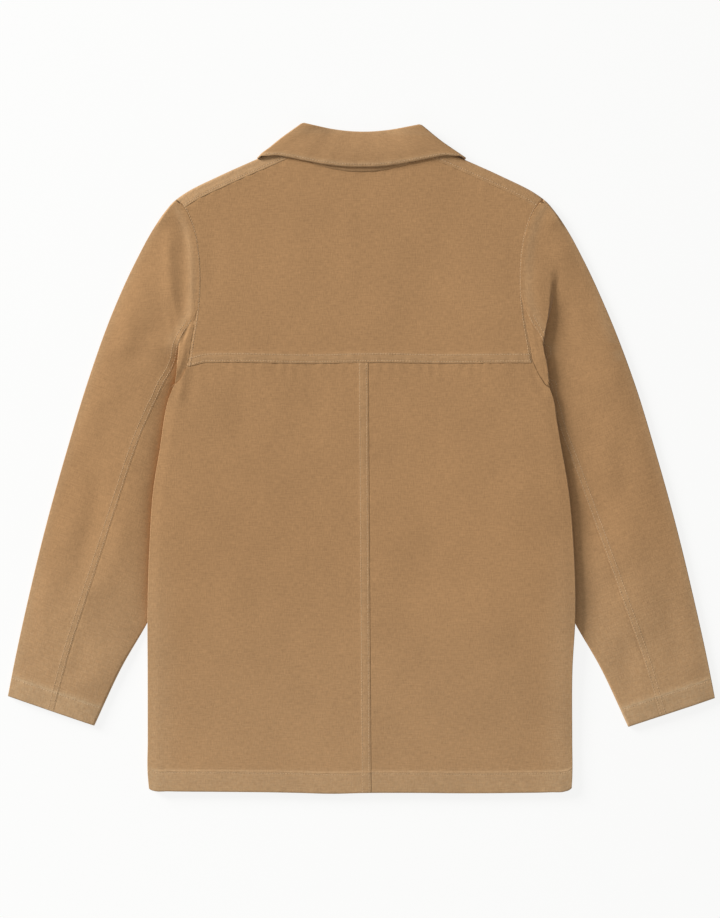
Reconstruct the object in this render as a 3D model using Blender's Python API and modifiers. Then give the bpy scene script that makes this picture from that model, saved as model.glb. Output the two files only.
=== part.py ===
"""A camel brushed-canvas jacket laid face down and flat: its back, yoke, sleeves and collar lie uppermost.

+Z is up and the neck points to +Y. The wearer's left is -X. The origin is at the middle of the garment's
footprint, on the surface that it lies on. Sizes here are in millimetres, and the meshes are in metres.
Each panel is its outer face, worked out on a grid of rows and columns, with the cloth's wall grown inwards.
"""

import bpy
import numpy as np

MM = 0.001

# Cloth
CLOTH = 1.3  # wall of the canvas
LEAF = 1.6  # wall of the collar's leaf, which is two plies
SEAM = 0.3  # gap between the pieces at a seam

# Body
HALF_LENGTH = 384.1  # hem and collar corners from the middle of the footprint
YOKE_SEAM_Y = 109.8
UNDERARM_Y = 82.2
BODY_LOFT = 4.8  # outer face of the fronts to the outer face of the back
SIDE_SEAM_IN = 12.0  # side seam from the body's folded edge, on the underside
SHOULDER_STRIP = 14.0  # how far the fronts come over the shoulders onto the back
FRONT_SCOOP = 6.0  # how much further in the front armholes are cut than the back ones

# Front closure
LAP = 14.0  # how far each front reaches past the middle
LAP_RISE = 3.1  # the outer front lies on the buttons
BUTTON_RADIUS = 9.0
BUTTON_THICK = 2.7
BUTTON_TOP_Y = 262.0
BUTTON_PITCH = 128.0
BUTTONS = 5

# Sleeves
SLEEVE_PRESSED = 3.4  # thickness where the body lies on them
SLEEVE_EDGE = 4.4  # thickness at the folded outer edge
SLEEVE_CROWN = 6.3  # greatest thickness
TUCK_RISE = 3.8  # the body's underside where it lies on the sleeves

# Collar
COLLAR_STACK = 9.6  # height of the collar where it turns round the neck
COLLAR_RISE = 2.1  # the fronts lie on the collar's points


def table(names, *rows):
    """The columns of a table by their names."""
    return dict(zip(names.split(), np.array(rows, float).T))


# Each table is the half at +X. The other half mirrors it.
OUTLINE = table(
    "y x",  # shoulder fold, sleeve head and the sleeve's outer fold, down to the cuff
    (353.4, 98.0),
    (343.3, 121.0),
    (324.9, 162.2),
    (306.5, 199.0),
    (297.3, 212.0),
    (283.5, 224.3),
    (269.7, 234.0),
    (228.3, 257.0),
    (173.1, 282.4),
    (90.3, 313.4),
    (7.5, 338.7),
    (-75.3, 361.7),
    (-158.1, 381.8),
    (-240.9, 399.6),
    (-272.0, 405.5),
)

SIDE = table(
    "y x",  # the body's folded side, from the underarm to the hem
    (82.2, 213.9),
    (68.2, 221.2),
    (45.4, 224.2),
    (24.0, 230.6),
    (-35.0, 238.6),
    (-100.0, 243.4),
    (-178.0, 245.4),
    (-240.0, 243.8),
    (-324.0, 243.8),
    (-384.1, 241.8),
)

ARMHOLE = table(
    "y x",  # from the shoulder to the underarm
    (297.3, 210.5),
    (286.0, 203.0),
    (263.0, 193.5),
    (235.0, 188.2),
    (208.0, 186.6),
    (165.0, 189.2),
    (131.0, 195.0),
    (111.0, 198.5),
    (98.0, 204.0),
    (82.2, 213.9),
)

SLEEVE_HEAD = table(
    "outer_y inner_y back_seam front_seam",  # stations from the shoulder to the underarm
    (293.8, 293.3, 1.00, 1.00),
    (272.0, 275.4, 1.00, 1.00),
    (245.5, 251.3, 1.00, 1.00),
    (216.8, 222.5, 1.00, 1.00),
    (188.0, 191.5, 1.00, 1.00),
    (161.6, 162.7, 0.97, 0.98),
    (139.7, 138.6, 0.87, 0.94),
    (123.6, 113.3, 0.85, 0.90),
    (113.3, 82.2, 0.86, 0.86),
)

SLEEVE_ARM = table(
    "outer_y inner_x inner_y back_seam front_seam",  # stations from the underarm to the cuff
    (113.3, 213.9, 82.2, 0.86, 0.86),
    (106.4, 199.0, 68.4, 0.71, 0.83),
    (90.3, 182.9, 44.3, 0.58, 0.81),
    (62.7, 175.4, 12.1, 0.51, 0.80),
    (29.3, 177.1, -24.7, 0.48, 0.80),
    (-14.4, 187.5, -68.4, 0.45, 0.80),
    (-69.0, 211.6, -119.0, 0.46, 0.80),
    (-139.7, 243.2, -184.6, 0.48, 0.80),
    (-200.7, 274.9, -240.9, 0.50, 0.80),
    (-270.8, 303.6, -305.3, 0.53, 0.80),
)
UNDER_SLEEVE_START = 5.0  # the station of SLEEVE_HEAD where the under sleeve's point begins

NECKLINE = table(
    "x back_y front_y",  # from the middle to the shoulder
    (-20.0, 329.5, 300.0),
    (0.0, 329.5, 300.0),
    (46.0, 335.0, 317.0),
    (84.0, 341.5, 338.0),
    (98.0, 341.5, 349.0),
)

COLLAR = table(
    "free_x free_y roll_x roll_y neck_x neck_y top",  # rulings from the collar's point round to the back
    (62.0, 262.0, 10.0, 316.0, 8.0, 301.0, 0.0),
    (92.0, 305.0, 42.0, 352.0, 48.0, 318.5, 0.0),
    (120.0, 347.0, 68.0, 384.1, 85.0, 343.0, 0.5),
    (76.0, 345.0, 42.0, 379.0, 60.0, 338.5, 1.0),
    (40.0, 337.0, 20.0, 376.2, 30.0, 332.5, 1.0),
    (0.0, 334.0, 0.0, 375.0, 0.0, 330.3, 1.0),
)
ROLL_SINK = 5.0  # how far the back of the collar sinks at the middle of its roll

FOLDS = table(
    "side x0 y0 x1 y1 depth width",  # soft troughs in the sleeves beside the armholes
    (1, 221.0, 222.0, 209.5, 130.0, 1.6, 16.0),
    (-1, 209.0, 256.0, 207.0, 130.0, 0.9, 18.0),
)


def ease(value, start, end):
    """0 up to start, 1 from end on, and a smooth rise between them."""
    share = np.clip((value - start) / (end - start), 0, 1)
    return share * share * (3 - 2 * share)


def through(xs, ys, at):
    """A smooth curve through a table's rows: cubic Hermite pieces with slopes taken from the neighbours."""
    order = np.argsort(xs)
    xs, ys = xs[order], ys[order]
    slopes = np.gradient(ys, xs)
    at = np.clip(at, xs[0], xs[-1])
    row = np.clip(np.searchsorted(xs, at) - 1, 0, len(xs) - 2)
    step = xs[row + 1] - xs[row]
    t = (at - xs[row]) / step
    start = (2 * t**3 - 3 * t**2 + 1) * ys[row] + (t**3 - 2 * t**2 + t) * step * slopes[row]
    end = (3 * t**2 - 2 * t**3) * ys[row + 1] + (t**3 - t**2) * step * slopes[row + 1]
    return start + end


def outline(y):
    return through(OUTLINE["y"], OUTLINE["x"], y)


def armhole(y):
    return through(ARMHOLE["y"], ARMHOLE["x"], y)


def front_armhole(y):
    """The back armhole, scooped further in between the shoulder and the underarm."""
    share = np.clip((y - UNDERARM_Y) / (ARMHOLE["y"][0] - UNDERARM_Y), 0, 1)
    return armhole(y) - FRONT_SCOOP * np.sin(np.pi * share)


def armhole_rows():
    """Rows up the armhole, from the underarm, at the sleeve's own stations so that the seam's edges match."""
    number = np.arange(len(SLEEVE_HEAD["inner_y"]))
    return through(number, SLEEVE_HEAD["inner_y"], np.arange(number[-1], 0.4, -0.5))


def half_width(y):
    """The body's half width: its folded side below the underarm, the armhole above."""
    side = through(SIDE["y"], SIDE["x"], y)
    return np.where(y > UNDERARM_Y, armhole(np.maximum(y, UNDERARM_Y)), side)


def sleeve_fold(y):
    """How far from the middle the sleeve's inner fold lies under the body."""
    beyond = 0.9 * np.maximum(y - UNDERARM_Y, 0)
    return through(SLEEVE_ARM["inner_y"], SLEEVE_ARM["inner_x"], y) + beyond


def under_body(x, y):
    """Height of the fronts' outer face: on the floor, but raised over buttons, collar points and sleeves."""
    x = np.abs(x)
    on_buttons = LAP_RISE * (1 - ease(x, LAP, LAP + 34))
    past_collar = (x - 62) * 0.832 - (y - 262) * 0.555
    on_collar = COLLAR_RISE * (1 - ease(past_collar, 16, 60)) * ease(y, 195, 240)
    fold = sleeve_fold(y)
    on_sleeve = TUCK_RISE * ease(x, fold - 45, fold - 8)
    return np.maximum(np.maximum(on_buttons, on_collar), on_sleeve)


def over_body(x, y):
    """Height of the back's outer face."""
    return under_body(x, y) + BODY_LOFT


def sleeve_inner_thickness(y):
    """Thickness at the sleeve's inner fold: pressed under the body, rounder where it lies free."""
    return SLEEVE_PRESSED + (SLEEVE_EDGE - SLEEVE_PRESSED) * (1 - ease(y, -250, -170))


def over_sleeve(x, y, from_outer, from_inner):
    """Height of the sleeve's outer face, from its place and its distances to the station's two ends.

    It starts at the body's height at the armhole, sinks beside the body's folded side, rises to the crown
    and comes down to the folds. Below the underarm it stays pressed flat as far as the body lies on it.
    """
    clear = np.abs(x) - half_width(y)
    valley = SLEEVE_PRESSED + (BODY_LOFT - SLEEVE_PRESSED) * ease(y, UNDERARM_Y, UNDERARM_Y + 80)
    height = valley + (SLEEVE_CROWN - valley) * ease(clear, 14, 50)
    at_seam = over_body(half_width(y), y)
    above = ease(y, UNDERARM_Y + 4, UNDERARM_Y + 24)
    height = height + above * (at_seam - valley) * (1 - ease(clear, 0, 14))
    outer_limit = SLEEVE_EDGE + (SLEEVE_CROWN - SLEEVE_EDGE) * ease(from_outer, 2, 34)
    inner = sleeve_inner_thickness(y)
    inner_limit = np.where(y < -150, inner + (SLEEVE_CROWN - inner) * ease(from_inner, 2, 34), SLEEVE_CROWN + 4)
    height = np.minimum(np.minimum(height, outer_limit + 3 * above * ease(from_outer, 4, 20)), inner_limit)
    return height - trough(x, y)


def trough(x, y):
    """Depth of the soft folds beside the armholes: a rounded groove along a line that fades at both ends."""
    depth = np.zeros_like(x)
    for side, x0, y0, x1, y1, deep, wide in zip(*FOLDS.values()):
        share = np.clip((y - y0) / (y1 - y0), 0, 1)
        across = np.abs(x * side - (x0 + (x1 - x0) * share))
        along = ease(y, y1 - 10, y1 + 25) * (1 - ease(y, y0 - 30, y0 + 5))
        depth = np.maximum(depth, deep * along * (1 - ease(across, 0, wide)))
    return depth


def clear_scene():
    for old in list(bpy.data.objects):
        bpy.data.objects.remove(old, do_unlink=True)


def material(name, colour, roughness):
    made = bpy.data.materials.new(name)
    made.use_nodes = True
    shader = made.node_tree.nodes["Principled BSDF"]
    shader.inputs["Base Color"].default_value = (*colour, 1)
    shader.inputs["Roughness"].default_value = roughness
    shader.inputs["Metallic"].default_value = 0
    return made


def add_object(name, mesh, colour, roughness):
    mesh.materials.append(material(name, colour, roughness))
    mesh.shade_smooth()
    mesh.set_sharp_from_angle(angle=np.radians(50))
    placed = bpy.data.objects.new(name, mesh)
    bpy.data.collections["canvas_jacket"].objects.link(placed)
    return placed


def panel(name, grid, colour, wall=CLOTH, keep=None, flip=False):
    """A sewn piece from its outer face: rows by columns of points, with the wall grown inwards by Solidify.

    keep says, for each cell of the grid, whether it is cloth. flip turns the outer face to the other side.
    """
    rows, columns = grid.shape[:2]
    index = np.arange(rows * columns).reshape(rows, columns)
    cells = np.stack([index[:-1, :-1], index[:-1, 1:], index[1:, 1:], index[1:, :-1]], axis=-1)
    cells = cells[keep] if keep is not None else cells.reshape(-1, 4)
    cells = cells[:, ::-1] if flip else cells
    used, corners = np.unique(cells, return_inverse=True)
    mesh = bpy.data.meshes.new(name)
    mesh.from_pydata((grid.reshape(-1, 3)[used] * MM).tolist(), [], corners.reshape(-1, 4).tolist())
    mesh.update()
    made = add_object(name, mesh, colour, 0.92)
    solid = made.modifiers.new("cloth wall", "SOLIDIFY")
    solid.thickness = wall * MM
    solid.offset = -1
    solid.use_even_offset = True
    return made


def turn(count):
    """Angles round a fold, from its top to its underside."""
    return np.linspace(0, np.pi, count)


def spread(*stops):
    """Positions from the first stop to the last, with (stop, count) cells up to each next one."""
    places = [np.array([stops[0]])]
    for stop, count in stops[1:]:
        places.append(np.linspace(places[-1][-1], stop, count + 1)[1:])
    return np.concatenate(places)


def stack(x, y, z):
    return np.stack(np.broadcast_arrays(x, y, z), axis=-1)


def back_seam_x(y):
    """The centre-back seam's lapped edge, a little to one side of the middle."""
    return 9.7 + 3.4 * (YOKE_SEAM_Y - y) / (YOKE_SEAM_Y + HALF_LENGTH)


def body_places(start, end, y):
    """Places across one half of the body in each row: over the buttons' rise, then to where the sleeve lies under."""
    fold = np.minimum(sleeve_fold(y), end + 10)
    rise = LAP + 34
    open_run = [rise + (fold - 45 - rise) * share for share in (1 / 3, 2 / 3, 1)]
    near_end = np.minimum(fold - 8, end - 3)
    places = [start, LAP, LAP + 17, rise, *open_run, fold - 26, near_end, end]
    return np.stack(np.broadcast_arrays(*places), axis=1)


def body_rows():
    return spread(-HALF_LENGTH, (-240.0, 2), (-184.0, 2), (44.0, 5), (UNDERARM_Y, 2), (98.0, 1), (YOKE_SEAM_Y, 1))


def back(name, side, colour):
    """Half of the back: from the centre seam across to the folded side and round it to the side seam."""
    y = body_rows()
    y[-1] -= SEAM
    radius = BODY_LOFT / 2
    half = half_width(y) - np.where(y > UNDERARM_Y + 1, SEAM / 2, radius)
    across = body_places(side * back_seam_x(y) + SEAM / 2, half, y)
    rows = y[:, None]
    top = stack(side * across, rows, over_body(across, rows))
    angle = turn(5)[None, 1:]
    fold_x = half[:, None] + radius * np.sin(angle)
    base = under_body(half, y)[:, None]
    fold = stack(side * fold_x, rows, base + radius * (1 + np.cos(angle)))
    under_x = half[:, None] + radius - SIDE_SEAM_IN
    under = stack(side * under_x, rows, under_body(under_x, rows))
    grid = np.concatenate([top, fold, under], axis=1)
    keep = np.ones((len(y) - 1, grid.shape[1] - 1), bool)
    keep[y[1:] > UNDERARM_Y + 1, top.shape[1] - 1 :] = False
    return panel(name, grid, colour, keep=keep, flip=side < 0)


def shoulder_fold(x):
    """The shoulder's fold: its Y at each X, and the unit vector that points out of it."""
    y = np.linspace(OUTLINE["y"][0], 290.0, 60)
    xs = outline(y)
    slope = np.gradient(xs, y)
    length = np.hypot(1, slope)
    return np.interp(x, xs, y), np.interp(x, xs, 1 / length), np.interp(x, xs, -slope / length)


def front(name, side, colour):
    """One front: across from its lapped edge to the side seam, up to the neckline, and over the shoulder."""
    outer_lap = side < 0
    low = body_rows()[:-2]
    side_seam = through(SIDE["y"], SIDE["x"], low) - SIDE_SEAM_IN - SEAM
    low_x = body_places(-LAP, side_seam, low)
    share = (low_x[-1] + LAP) / (side_seam[-1] + LAP)
    low_y = np.broadcast_to(low[:, None], low_x.shape)
    end_y = ARMHOLE["y"][0] - 2.0
    edge_y = np.append(armhole_rows(), end_y)[:, None]
    rise = (edge_y - UNDERARM_Y) / (end_y - UNDERARM_Y)
    edge_x = front_armhole(edge_y) - SEAM / 2
    edge_x = np.where(rise == 0, side_seam[-1], edge_x)
    high_x = -LAP + (edge_x + LAP) * share[None, :]
    radius = BODY_LOFT / 2
    top_x = high_x[-1]
    fold_y, out_x, out_y = shoulder_fold(top_x)
    wraps = top_x > 97.0
    neck_y = through(NECKLINE["x"], NECKLINE["front_y"], top_x)
    top_y = np.where(wraps, fold_y - radius * out_y, neck_y)
    high_y = UNDERARM_Y + (top_y[None, :] - UNDERARM_Y) * rise
    x = np.concatenate([low_x[:-1], high_x])
    y = np.concatenate([low_y[:-1], high_y])
    lap = 0.0 if outer_lap else CLOTH + SEAM
    z = under_body(x, y) + lap * (1 - ease(x, LAP + 2, LAP + 30))
    flat = stack(side * x, y, z)
    angle = turn(5)[1:, None]
    base = z[-1][None, :]
    arc_x = top_x + radius * out_x * np.sin(angle)
    arc_y = top_y + radius * out_y * np.sin(angle)
    arc = stack(side * arc_x, arc_y, base + radius * (1 - np.cos(angle)))
    reach = (SHOULDER_STRIP - radius) * np.array([[0.5], [1.0]])
    strip_y = top_y - reach * out_y
    strip_x = np.minimum(top_x - reach * out_x, armhole(strip_y) - SEAM)
    strip = stack(side * strip_x, strip_y, over_body(strip_x, strip_y))
    grid = np.concatenate([flat, arc, strip])
    keep = np.ones((grid.shape[0] - 1, grid.shape[1] - 1), bool)
    keep[flat.shape[0] - 1 :, ~wraps[:-1]] = False
    return panel(name, grid, colour, keep=keep, flip=side > 0)


def yoke_top(x):
    """The yoke's upper edge: the back neckline, then the forward shoulder seam."""
    fold_x = np.linspace(98.0, 211.0, 50)
    fold_y, out_x, out_y = shoulder_fold(fold_x)
    gap = SHOULDER_STRIP + SEAM
    seam_x, seam_y = fold_x - gap * out_x, fold_y - gap * out_y
    neck = through(NECKLINE["x"], NECKLINE["back_y"], x)
    return np.where(x < seam_x[0], neck, np.interp(x, seam_x, seam_y))


def yoke(name, colour):
    """The back yoke in one piece, from armhole to armhole."""
    half = spread(0.0, (0.08, 1), (0.24, 1), (0.5, 2), (0.8, 2), (1.0, 2))
    across = np.concatenate([-half[:0:-1], half])[None, :]
    low_y, end_y = YOKE_SEAM_Y, 288.0
    rows = armhole_rows()
    edge_y = np.concatenate([[low_y], rows[(rows > low_y + 8) & (rows < end_y - 1)], [end_y]])[:, None]
    rise = (edge_y - low_y) / (end_y - low_y)
    x = across * (armhole(edge_y) - SEAM / 2)
    y = low_y + (yoke_top(np.abs(x[-1]))[None, :] - low_y) * rise
    return panel(name, stack(x, y, over_body(x, y)), colour)


def stations(first, last=9.0, per_row=0.5):
    """Stations along the sleeve: the outer edge, the inner end of each layer, and the seams' shares."""
    count = len(SLEEVE_HEAD["outer_y"])
    number = np.arange(count)
    head = np.arange(first, count - 1 + 1e-6, per_row)
    made = {key: through(number, column, head) for key, column in SLEEVE_HEAD.items()}
    made["inner_x"] = armhole(made["inner_y"])
    made["under_x"] = front_armhole(made["inner_y"])
    arm_number = np.arange(len(SLEEVE_ARM["outer_y"]))
    arm = spread(0.5, (3.0, 4), (last, 5))
    lower = {key: through(arm_number, column, arm) for key, column in SLEEVE_ARM.items()}
    lower["under_x"] = lower["inner_x"]
    joined = {key: np.concatenate([made[key], lower[key]]) for key in made}
    joined["closed"] = np.arange(len(joined["outer_y"])) >= len(head) - 1
    joined["outer_x"] = outline(joined["outer_y"])
    return joined


def sleeve_run(at, distance, upper):
    """Points across each station at distances from its outer edge, on the upper or the lower layer."""
    inner_x = at["inner_x"] if upper else at["under_x"]
    run_x, run_y = inner_x - at["outer_x"], at["inner_y"] - at["outer_y"]
    width = np.hypot(run_x, run_y)[:, None]
    x = at["outer_x"][:, None] + run_x[:, None] * distance / width
    y = at["outer_y"][:, None] + run_y[:, None] * distance / width
    return x, y, width


def sleeve_widths(at):
    upper = np.hypot(at["inner_x"] - at["outer_x"], at["inner_y"] - at["outer_y"])[:, None]
    lower = np.hypot(at["under_x"] - at["outer_x"], at["inner_y"] - at["outer_y"])[:, None]
    radius = sleeve_inner_thickness(at["inner_y"])[:, None] / 2
    trim = np.where(at["closed"][:, None], radius, SEAM)
    return upper, lower, trim, radius


def upper_layer(at, distance, side):
    x, y, width = sleeve_run(at, distance, True)
    z = over_sleeve(x * side, y, distance, width - distance)
    return stack(side * x, y, z)


def lower_layer(at, distance, side):
    x, y, _ = sleeve_run(at, distance, False)
    return stack(side * x, y, 0.0)


def top_sleeve(name, side, colour):
    """The top sleeve: from the back seam over the crown, round the outer fold and back to the front seam."""
    at = stations(0.0)
    upper, lower, trim, _ = sleeve_widths(at)
    radius = np.minimum(SLEEVE_EDGE / 2, upper / 3)
    back_end = (upper - trim) * at["back_seam"][:, None] - SEAM / 2
    front_end = (lower - trim) * at["front_seam"][:, None] - SEAM / 2
    share = spread(0.0, (0.14, 1), (0.64, 2), (0.86, 2), (1.0, 1))[None, ::-1]
    crown = upper_layer(at, radius + (back_end - radius) * share, side)
    angle = turn(5)[None, 1:-1]
    arc_x, arc_y, _ = sleeve_run(at, radius * (1 - np.sin(angle)), True)
    edge = crown[:, -1:, 2]
    arc = stack(side * arc_x, arc_y, edge / 2 * (1 + np.cos(angle)))
    share = np.linspace(0, 1, 4)[None, :]
    floor = lower_layer(at, radius + (front_end - radius) * share, side)
    return panel(name, np.concatenate([crown, arc, floor], axis=1), colour, flip=side > 0)


def under_sleeve(name, side, colour):
    """The under sleeve: from the back seam, under the body, round the inner fold to the front seam."""
    at = stations(UNDER_SLEEVE_START)
    upper, lower, trim, radius = sleeve_widths(at)
    back_start = (upper - trim) * at["back_seam"][:, None] + SEAM / 2
    front_start = (lower - trim) * at["front_seam"][:, None] + SEAM / 2
    share = spread(0.0, (0.6, 3), (1.0, 2))[None, :]
    shown = upper_layer(at, back_start + (upper - trim - back_start) * share, side)
    angle = turn(5)[None, 1:-1]
    arc_x, arc_y, _ = sleeve_run(at, upper - radius * (1 - np.sin(angle)), True)
    arc = stack(side * arc_x, arc_y, shown[:, -1:, 2] / 2 * (1 + np.cos(angle)))
    share = np.linspace(1, 0, 3)[None, :]
    floor = lower_layer(at, front_start + (lower - trim - front_start) * share, side)
    grid = np.concatenate([shown, arc, floor], axis=1)
    keep = np.ones((grid.shape[0] - 1, grid.shape[1] - 1), bool)
    open_rows = ~at["closed"][:-1]
    keep[np.ix_(open_rows, np.arange(shown.shape[1] - 1, shown.shape[1] + 3))] = False
    return panel(name, grid, colour, keep=keep, flip=side < 0)


def collar_rulings(radius):
    """Rulings round half the collar, with the turn round the side of the neck drawn as an arc of this radius.

    Each runs from the free edge to the roll. The turn is 0 on top and half a circle on the underside.
    """
    free = np.stack([COLLAR["free_x"], COLLAR["free_y"]], axis=1)
    roll = np.stack([COLLAR["roll_x"], COLLAR["roll_y"]], axis=1)
    turned = int(np.argmax(COLLAR["top"] == 0.5))
    line = roll[turned] - free[turned]
    outwards = np.array([-line[1], line[0]]) * -1 / np.hypot(*line)
    angle = np.pi - turn(5)[:, None]
    inset = -outwards * radius * (1 - np.sin(angle))
    angles = np.concatenate([np.full(turned, np.pi), angle[:, 0], np.zeros(len(free) - turned - 1)])
    free = np.concatenate([free[:turned], free[turned] + inset, free[turned + 1 :]])
    roll = np.concatenate([roll[:turned], roll[turned] + inset, roll[turned + 1 :]])
    return free, roll, angles


def leaf_height(roll_x, share, angles):
    """Height of the leaf's outer face: on top it sinks towards the roll, most at the middle of the back."""
    sink = ROLL_SINK * (1 - roll_x / 68.0)[:, None] * share
    top = COLLAR_STACK - np.where(angles[:, None] > 0, 0, sink)
    return top * (1 + np.cos(angles[:, None])) / 2


def mirrored(half):
    """The whole strip from its half at +X, whose last row is on the middle."""
    return np.concatenate([half, half[-2::-1] * np.array([-1, 1, 1])])


def collar_leaf(name, colour):
    """The collar's leaf: one strip from point to point, folded round both sides of the neck."""
    free, roll, angles = collar_rulings(COLLAR_STACK / 2)
    share = np.linspace(0, 1, 5)[None, :]
    x = free[:, :1] + (roll - free)[:, :1] * share
    y = free[:, 1:] + (roll - free)[:, 1:] * share
    half = stack(x, y, leaf_height(roll[:, 0], share, angles))
    return panel(name, mirrored(half), colour, wall=LEAF)


def collar_stand(name, colour):
    """The stand under the leaf, behind the neck: from the neck seam up to the roll."""
    behind = COLLAR["top"] == 1.0
    rows = {key: column[behind][:, None] for key, column in COLLAR.items()}
    share = np.linspace(0.04, 0.95, 4)[None, :]
    x = rows["neck_x"] + (rows["roll_x"] - rows["neck_x"]) * share
    y = rows["neck_y"] + (rows["roll_y"] - rows["neck_y"]) * share
    height = leaf_height(rows["roll_x"][:, 0], share, np.zeros(len(x)))
    return panel(name, mirrored(stack(x, y, height - LEAF - SEAM)), colour)


def button(name, y, colour):
    """A plain dished button on the middle of the front, its face down, turned from its profile."""
    profile = ((0, 2.7), (8.2, 2.7), (9, 1.9), (9, 0.8), (8.2, 0), (6.4, 0), (5.6, 0.7), (0, 0.7))
    points = [(x * BUTTON_RADIUS / 9, 0, z * BUTTON_THICK / 2.7) for x, z in profile]
    mesh = bpy.data.meshes.new(name)
    mesh.from_pydata([tuple(c * MM for c in p) for p in points], [(i, i + 1) for i in range(len(points) - 1)], [])
    made = add_object(name, mesh, colour, 0.4)
    made.location = (0, y * MM, 0)
    screw = made.modifiers.new("turned", "SCREW")
    screw.steps = 14
    screw.render_steps = 14
    screw.use_merge_vertices = True
    screw.merge_threshold = 0.00001
    return made


def main():
    clear_scene()
    jacket = bpy.data.collections.new("canvas_jacket")
    bpy.context.scene.collection.children.link(jacket)
    camel = (0.392, 0.223, 0.105)
    shaded = (0.376, 0.212, 0.098)
    horn = (0.075, 0.045, 0.028)
    yoke("back_yoke", camel)
    for side, hand in ((-1, "left"), (1, "right")):
        back(f"back_{hand}", side, camel)
        front(f"front_{hand}", side, camel)
        top_sleeve(f"top_sleeve_{hand}", side, camel)
        under_sleeve(f"under_sleeve_{hand}", side, shaded)
    collar_leaf("collar_leaf", camel)
    collar_stand("collar_stand", shaded)
    for number in range(BUTTONS):
        button(f"button_{number + 1}", BUTTON_TOP_Y - number * BUTTON_PITCH, horn)


main()
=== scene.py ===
"""The look of a camel brushed-canvas jacket that lies face down and flat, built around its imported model.

Sizes in the tables and formulas are millimetres; meshes are in metres. The neck points to +Y, the wearer's
left is -X, and the jacket lies on the surface at Z = 0. Each cloth piece is its outer face on a grid of rows
and columns, with the wall grown inwards.
"""

import bpy
import mathutils
import numpy as np
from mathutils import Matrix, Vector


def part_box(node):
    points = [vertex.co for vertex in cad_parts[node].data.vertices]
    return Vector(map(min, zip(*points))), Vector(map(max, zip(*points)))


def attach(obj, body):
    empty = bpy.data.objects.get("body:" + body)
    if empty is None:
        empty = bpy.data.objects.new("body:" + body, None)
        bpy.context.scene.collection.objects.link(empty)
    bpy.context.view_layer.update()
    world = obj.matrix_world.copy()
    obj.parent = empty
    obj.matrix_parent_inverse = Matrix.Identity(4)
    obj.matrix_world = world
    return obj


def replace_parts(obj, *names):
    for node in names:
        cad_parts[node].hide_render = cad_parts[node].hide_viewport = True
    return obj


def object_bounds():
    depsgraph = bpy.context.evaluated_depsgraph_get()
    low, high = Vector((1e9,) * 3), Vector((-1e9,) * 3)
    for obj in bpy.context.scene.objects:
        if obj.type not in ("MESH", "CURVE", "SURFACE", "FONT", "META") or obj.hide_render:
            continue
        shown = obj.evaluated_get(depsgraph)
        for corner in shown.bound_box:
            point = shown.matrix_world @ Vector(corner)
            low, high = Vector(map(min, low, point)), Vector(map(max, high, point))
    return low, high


bl_info = {
    "name": "Canvas Jacket",
    "version": (1, 0, 0),
    "blender": (4, 5, 0),
    "location": "3D View > Sidebar > Jacket",
    "description": "Dresses a flat-laid canvas jacket: cloth panels, felled seams, stitches and buttons",
    "category": "Object",
}

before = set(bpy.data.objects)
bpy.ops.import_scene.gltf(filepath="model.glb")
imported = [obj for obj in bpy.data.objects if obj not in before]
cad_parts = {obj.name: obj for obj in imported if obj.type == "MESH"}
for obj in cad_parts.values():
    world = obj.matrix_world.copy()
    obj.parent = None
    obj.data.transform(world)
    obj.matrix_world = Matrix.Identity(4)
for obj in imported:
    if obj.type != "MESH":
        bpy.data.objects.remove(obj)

MM = 0.001
HEM_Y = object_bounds()[0][1] / MM
YOKE_SEAM_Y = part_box("back_yoke")[0][1] / MM
UNDERARM_Y = 82.2


def table(names, *rows):
    """The columns of a table by their names."""
    return dict(zip(names.split(), np.array(rows, float).T))


# The outline tables give the half at +X, and the other half mirrors it.
OUTLINE = table(
    "y x",  # shoulder fold, sleeve head and the sleeve's outer fold, down to the cuff
    (363.6, 76),
    (353.4, 98),
    (343.3, 121),
    (324.9, 162.2),
    (306.5, 199),
    (297.3, 212),
    (283.5, 224.3),
    (269.7, 234),
    (228.3, 257),
    (173.1, 282.4),
    (90.3, 313.4),
    (7.5, 338.7),
    (-75.3, 361.7),
    (-158.1, 381.8),
    (-240.9, 399.6),
    (-272, 405.5),
)

SIDE = table(
    "y left right",  # the body's folded sides, from the underarm to the hem
    (82.2, 214.4, 217.4),
    (68.2, 219.9, 222.3),
    (45.4, 224.9, 225.7),
    (20, 228.4, 230),
    (-35, 237.2, 239.4),
    (-100, 241.6, 245.2),
    (-178, 243.8, 247.2),
    (-240, 243.8, 244),
    (-324, 243.8, 243.8),
    (-372, 243.6, 243.8),
    (-384.1, 242.4, 243.2),
)

ARMHOLE = table(
    "y x",  # from the shoulder to the underarm
    (297.3, 210.5),
    (286, 203),
    (263, 193.5),
    (235, 188.2),
    (208, 186.6),
    (165, 189.2),
    (131, 195),
    (111, 198.5),
    (98, 204),
    (82.2, 213.9),
)

HEM_LINE = table(
    "x rise",
    (-243, 6.6),
    (-240.5, 4.6),
    (-236, 3.2),
    (-220, 2.8),
    (-155, 2.2),
    (-110, 1.8),
    (-70, 1),
    (-30, 0),
    (0, 0.8),
    (60, 1),
    (120, 0.6),
    (180, 1),
    (218, 1.7),
    (236, 2.8),
    (240.5, 4.4),
    (243, 6.4),
)

SLEEVE_HEAD = table(
    "outer_y inner_y left_seam right_seam front_seam",  # stations from the shoulder to the underarm
    (298.2, 296.8, 1, 1, 1),
    (275, 276.8, 1, 1, 1),
    (245.5, 251.3, 1, 1, 1),
    (216.8, 222.5, 1, 1, 1),
    (188, 191.5, 1, 1, 1),
    (161.6, 162.7, 0.982, 0.965, 0.98),
    (139.7, 138.6, 0.885, 0.870, 0.94),
    (123.6, 113.3, 0.865, 0.860, 0.90),
    (113.3, 82.2, 0.866, 0.955, 0.86),
)

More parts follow.
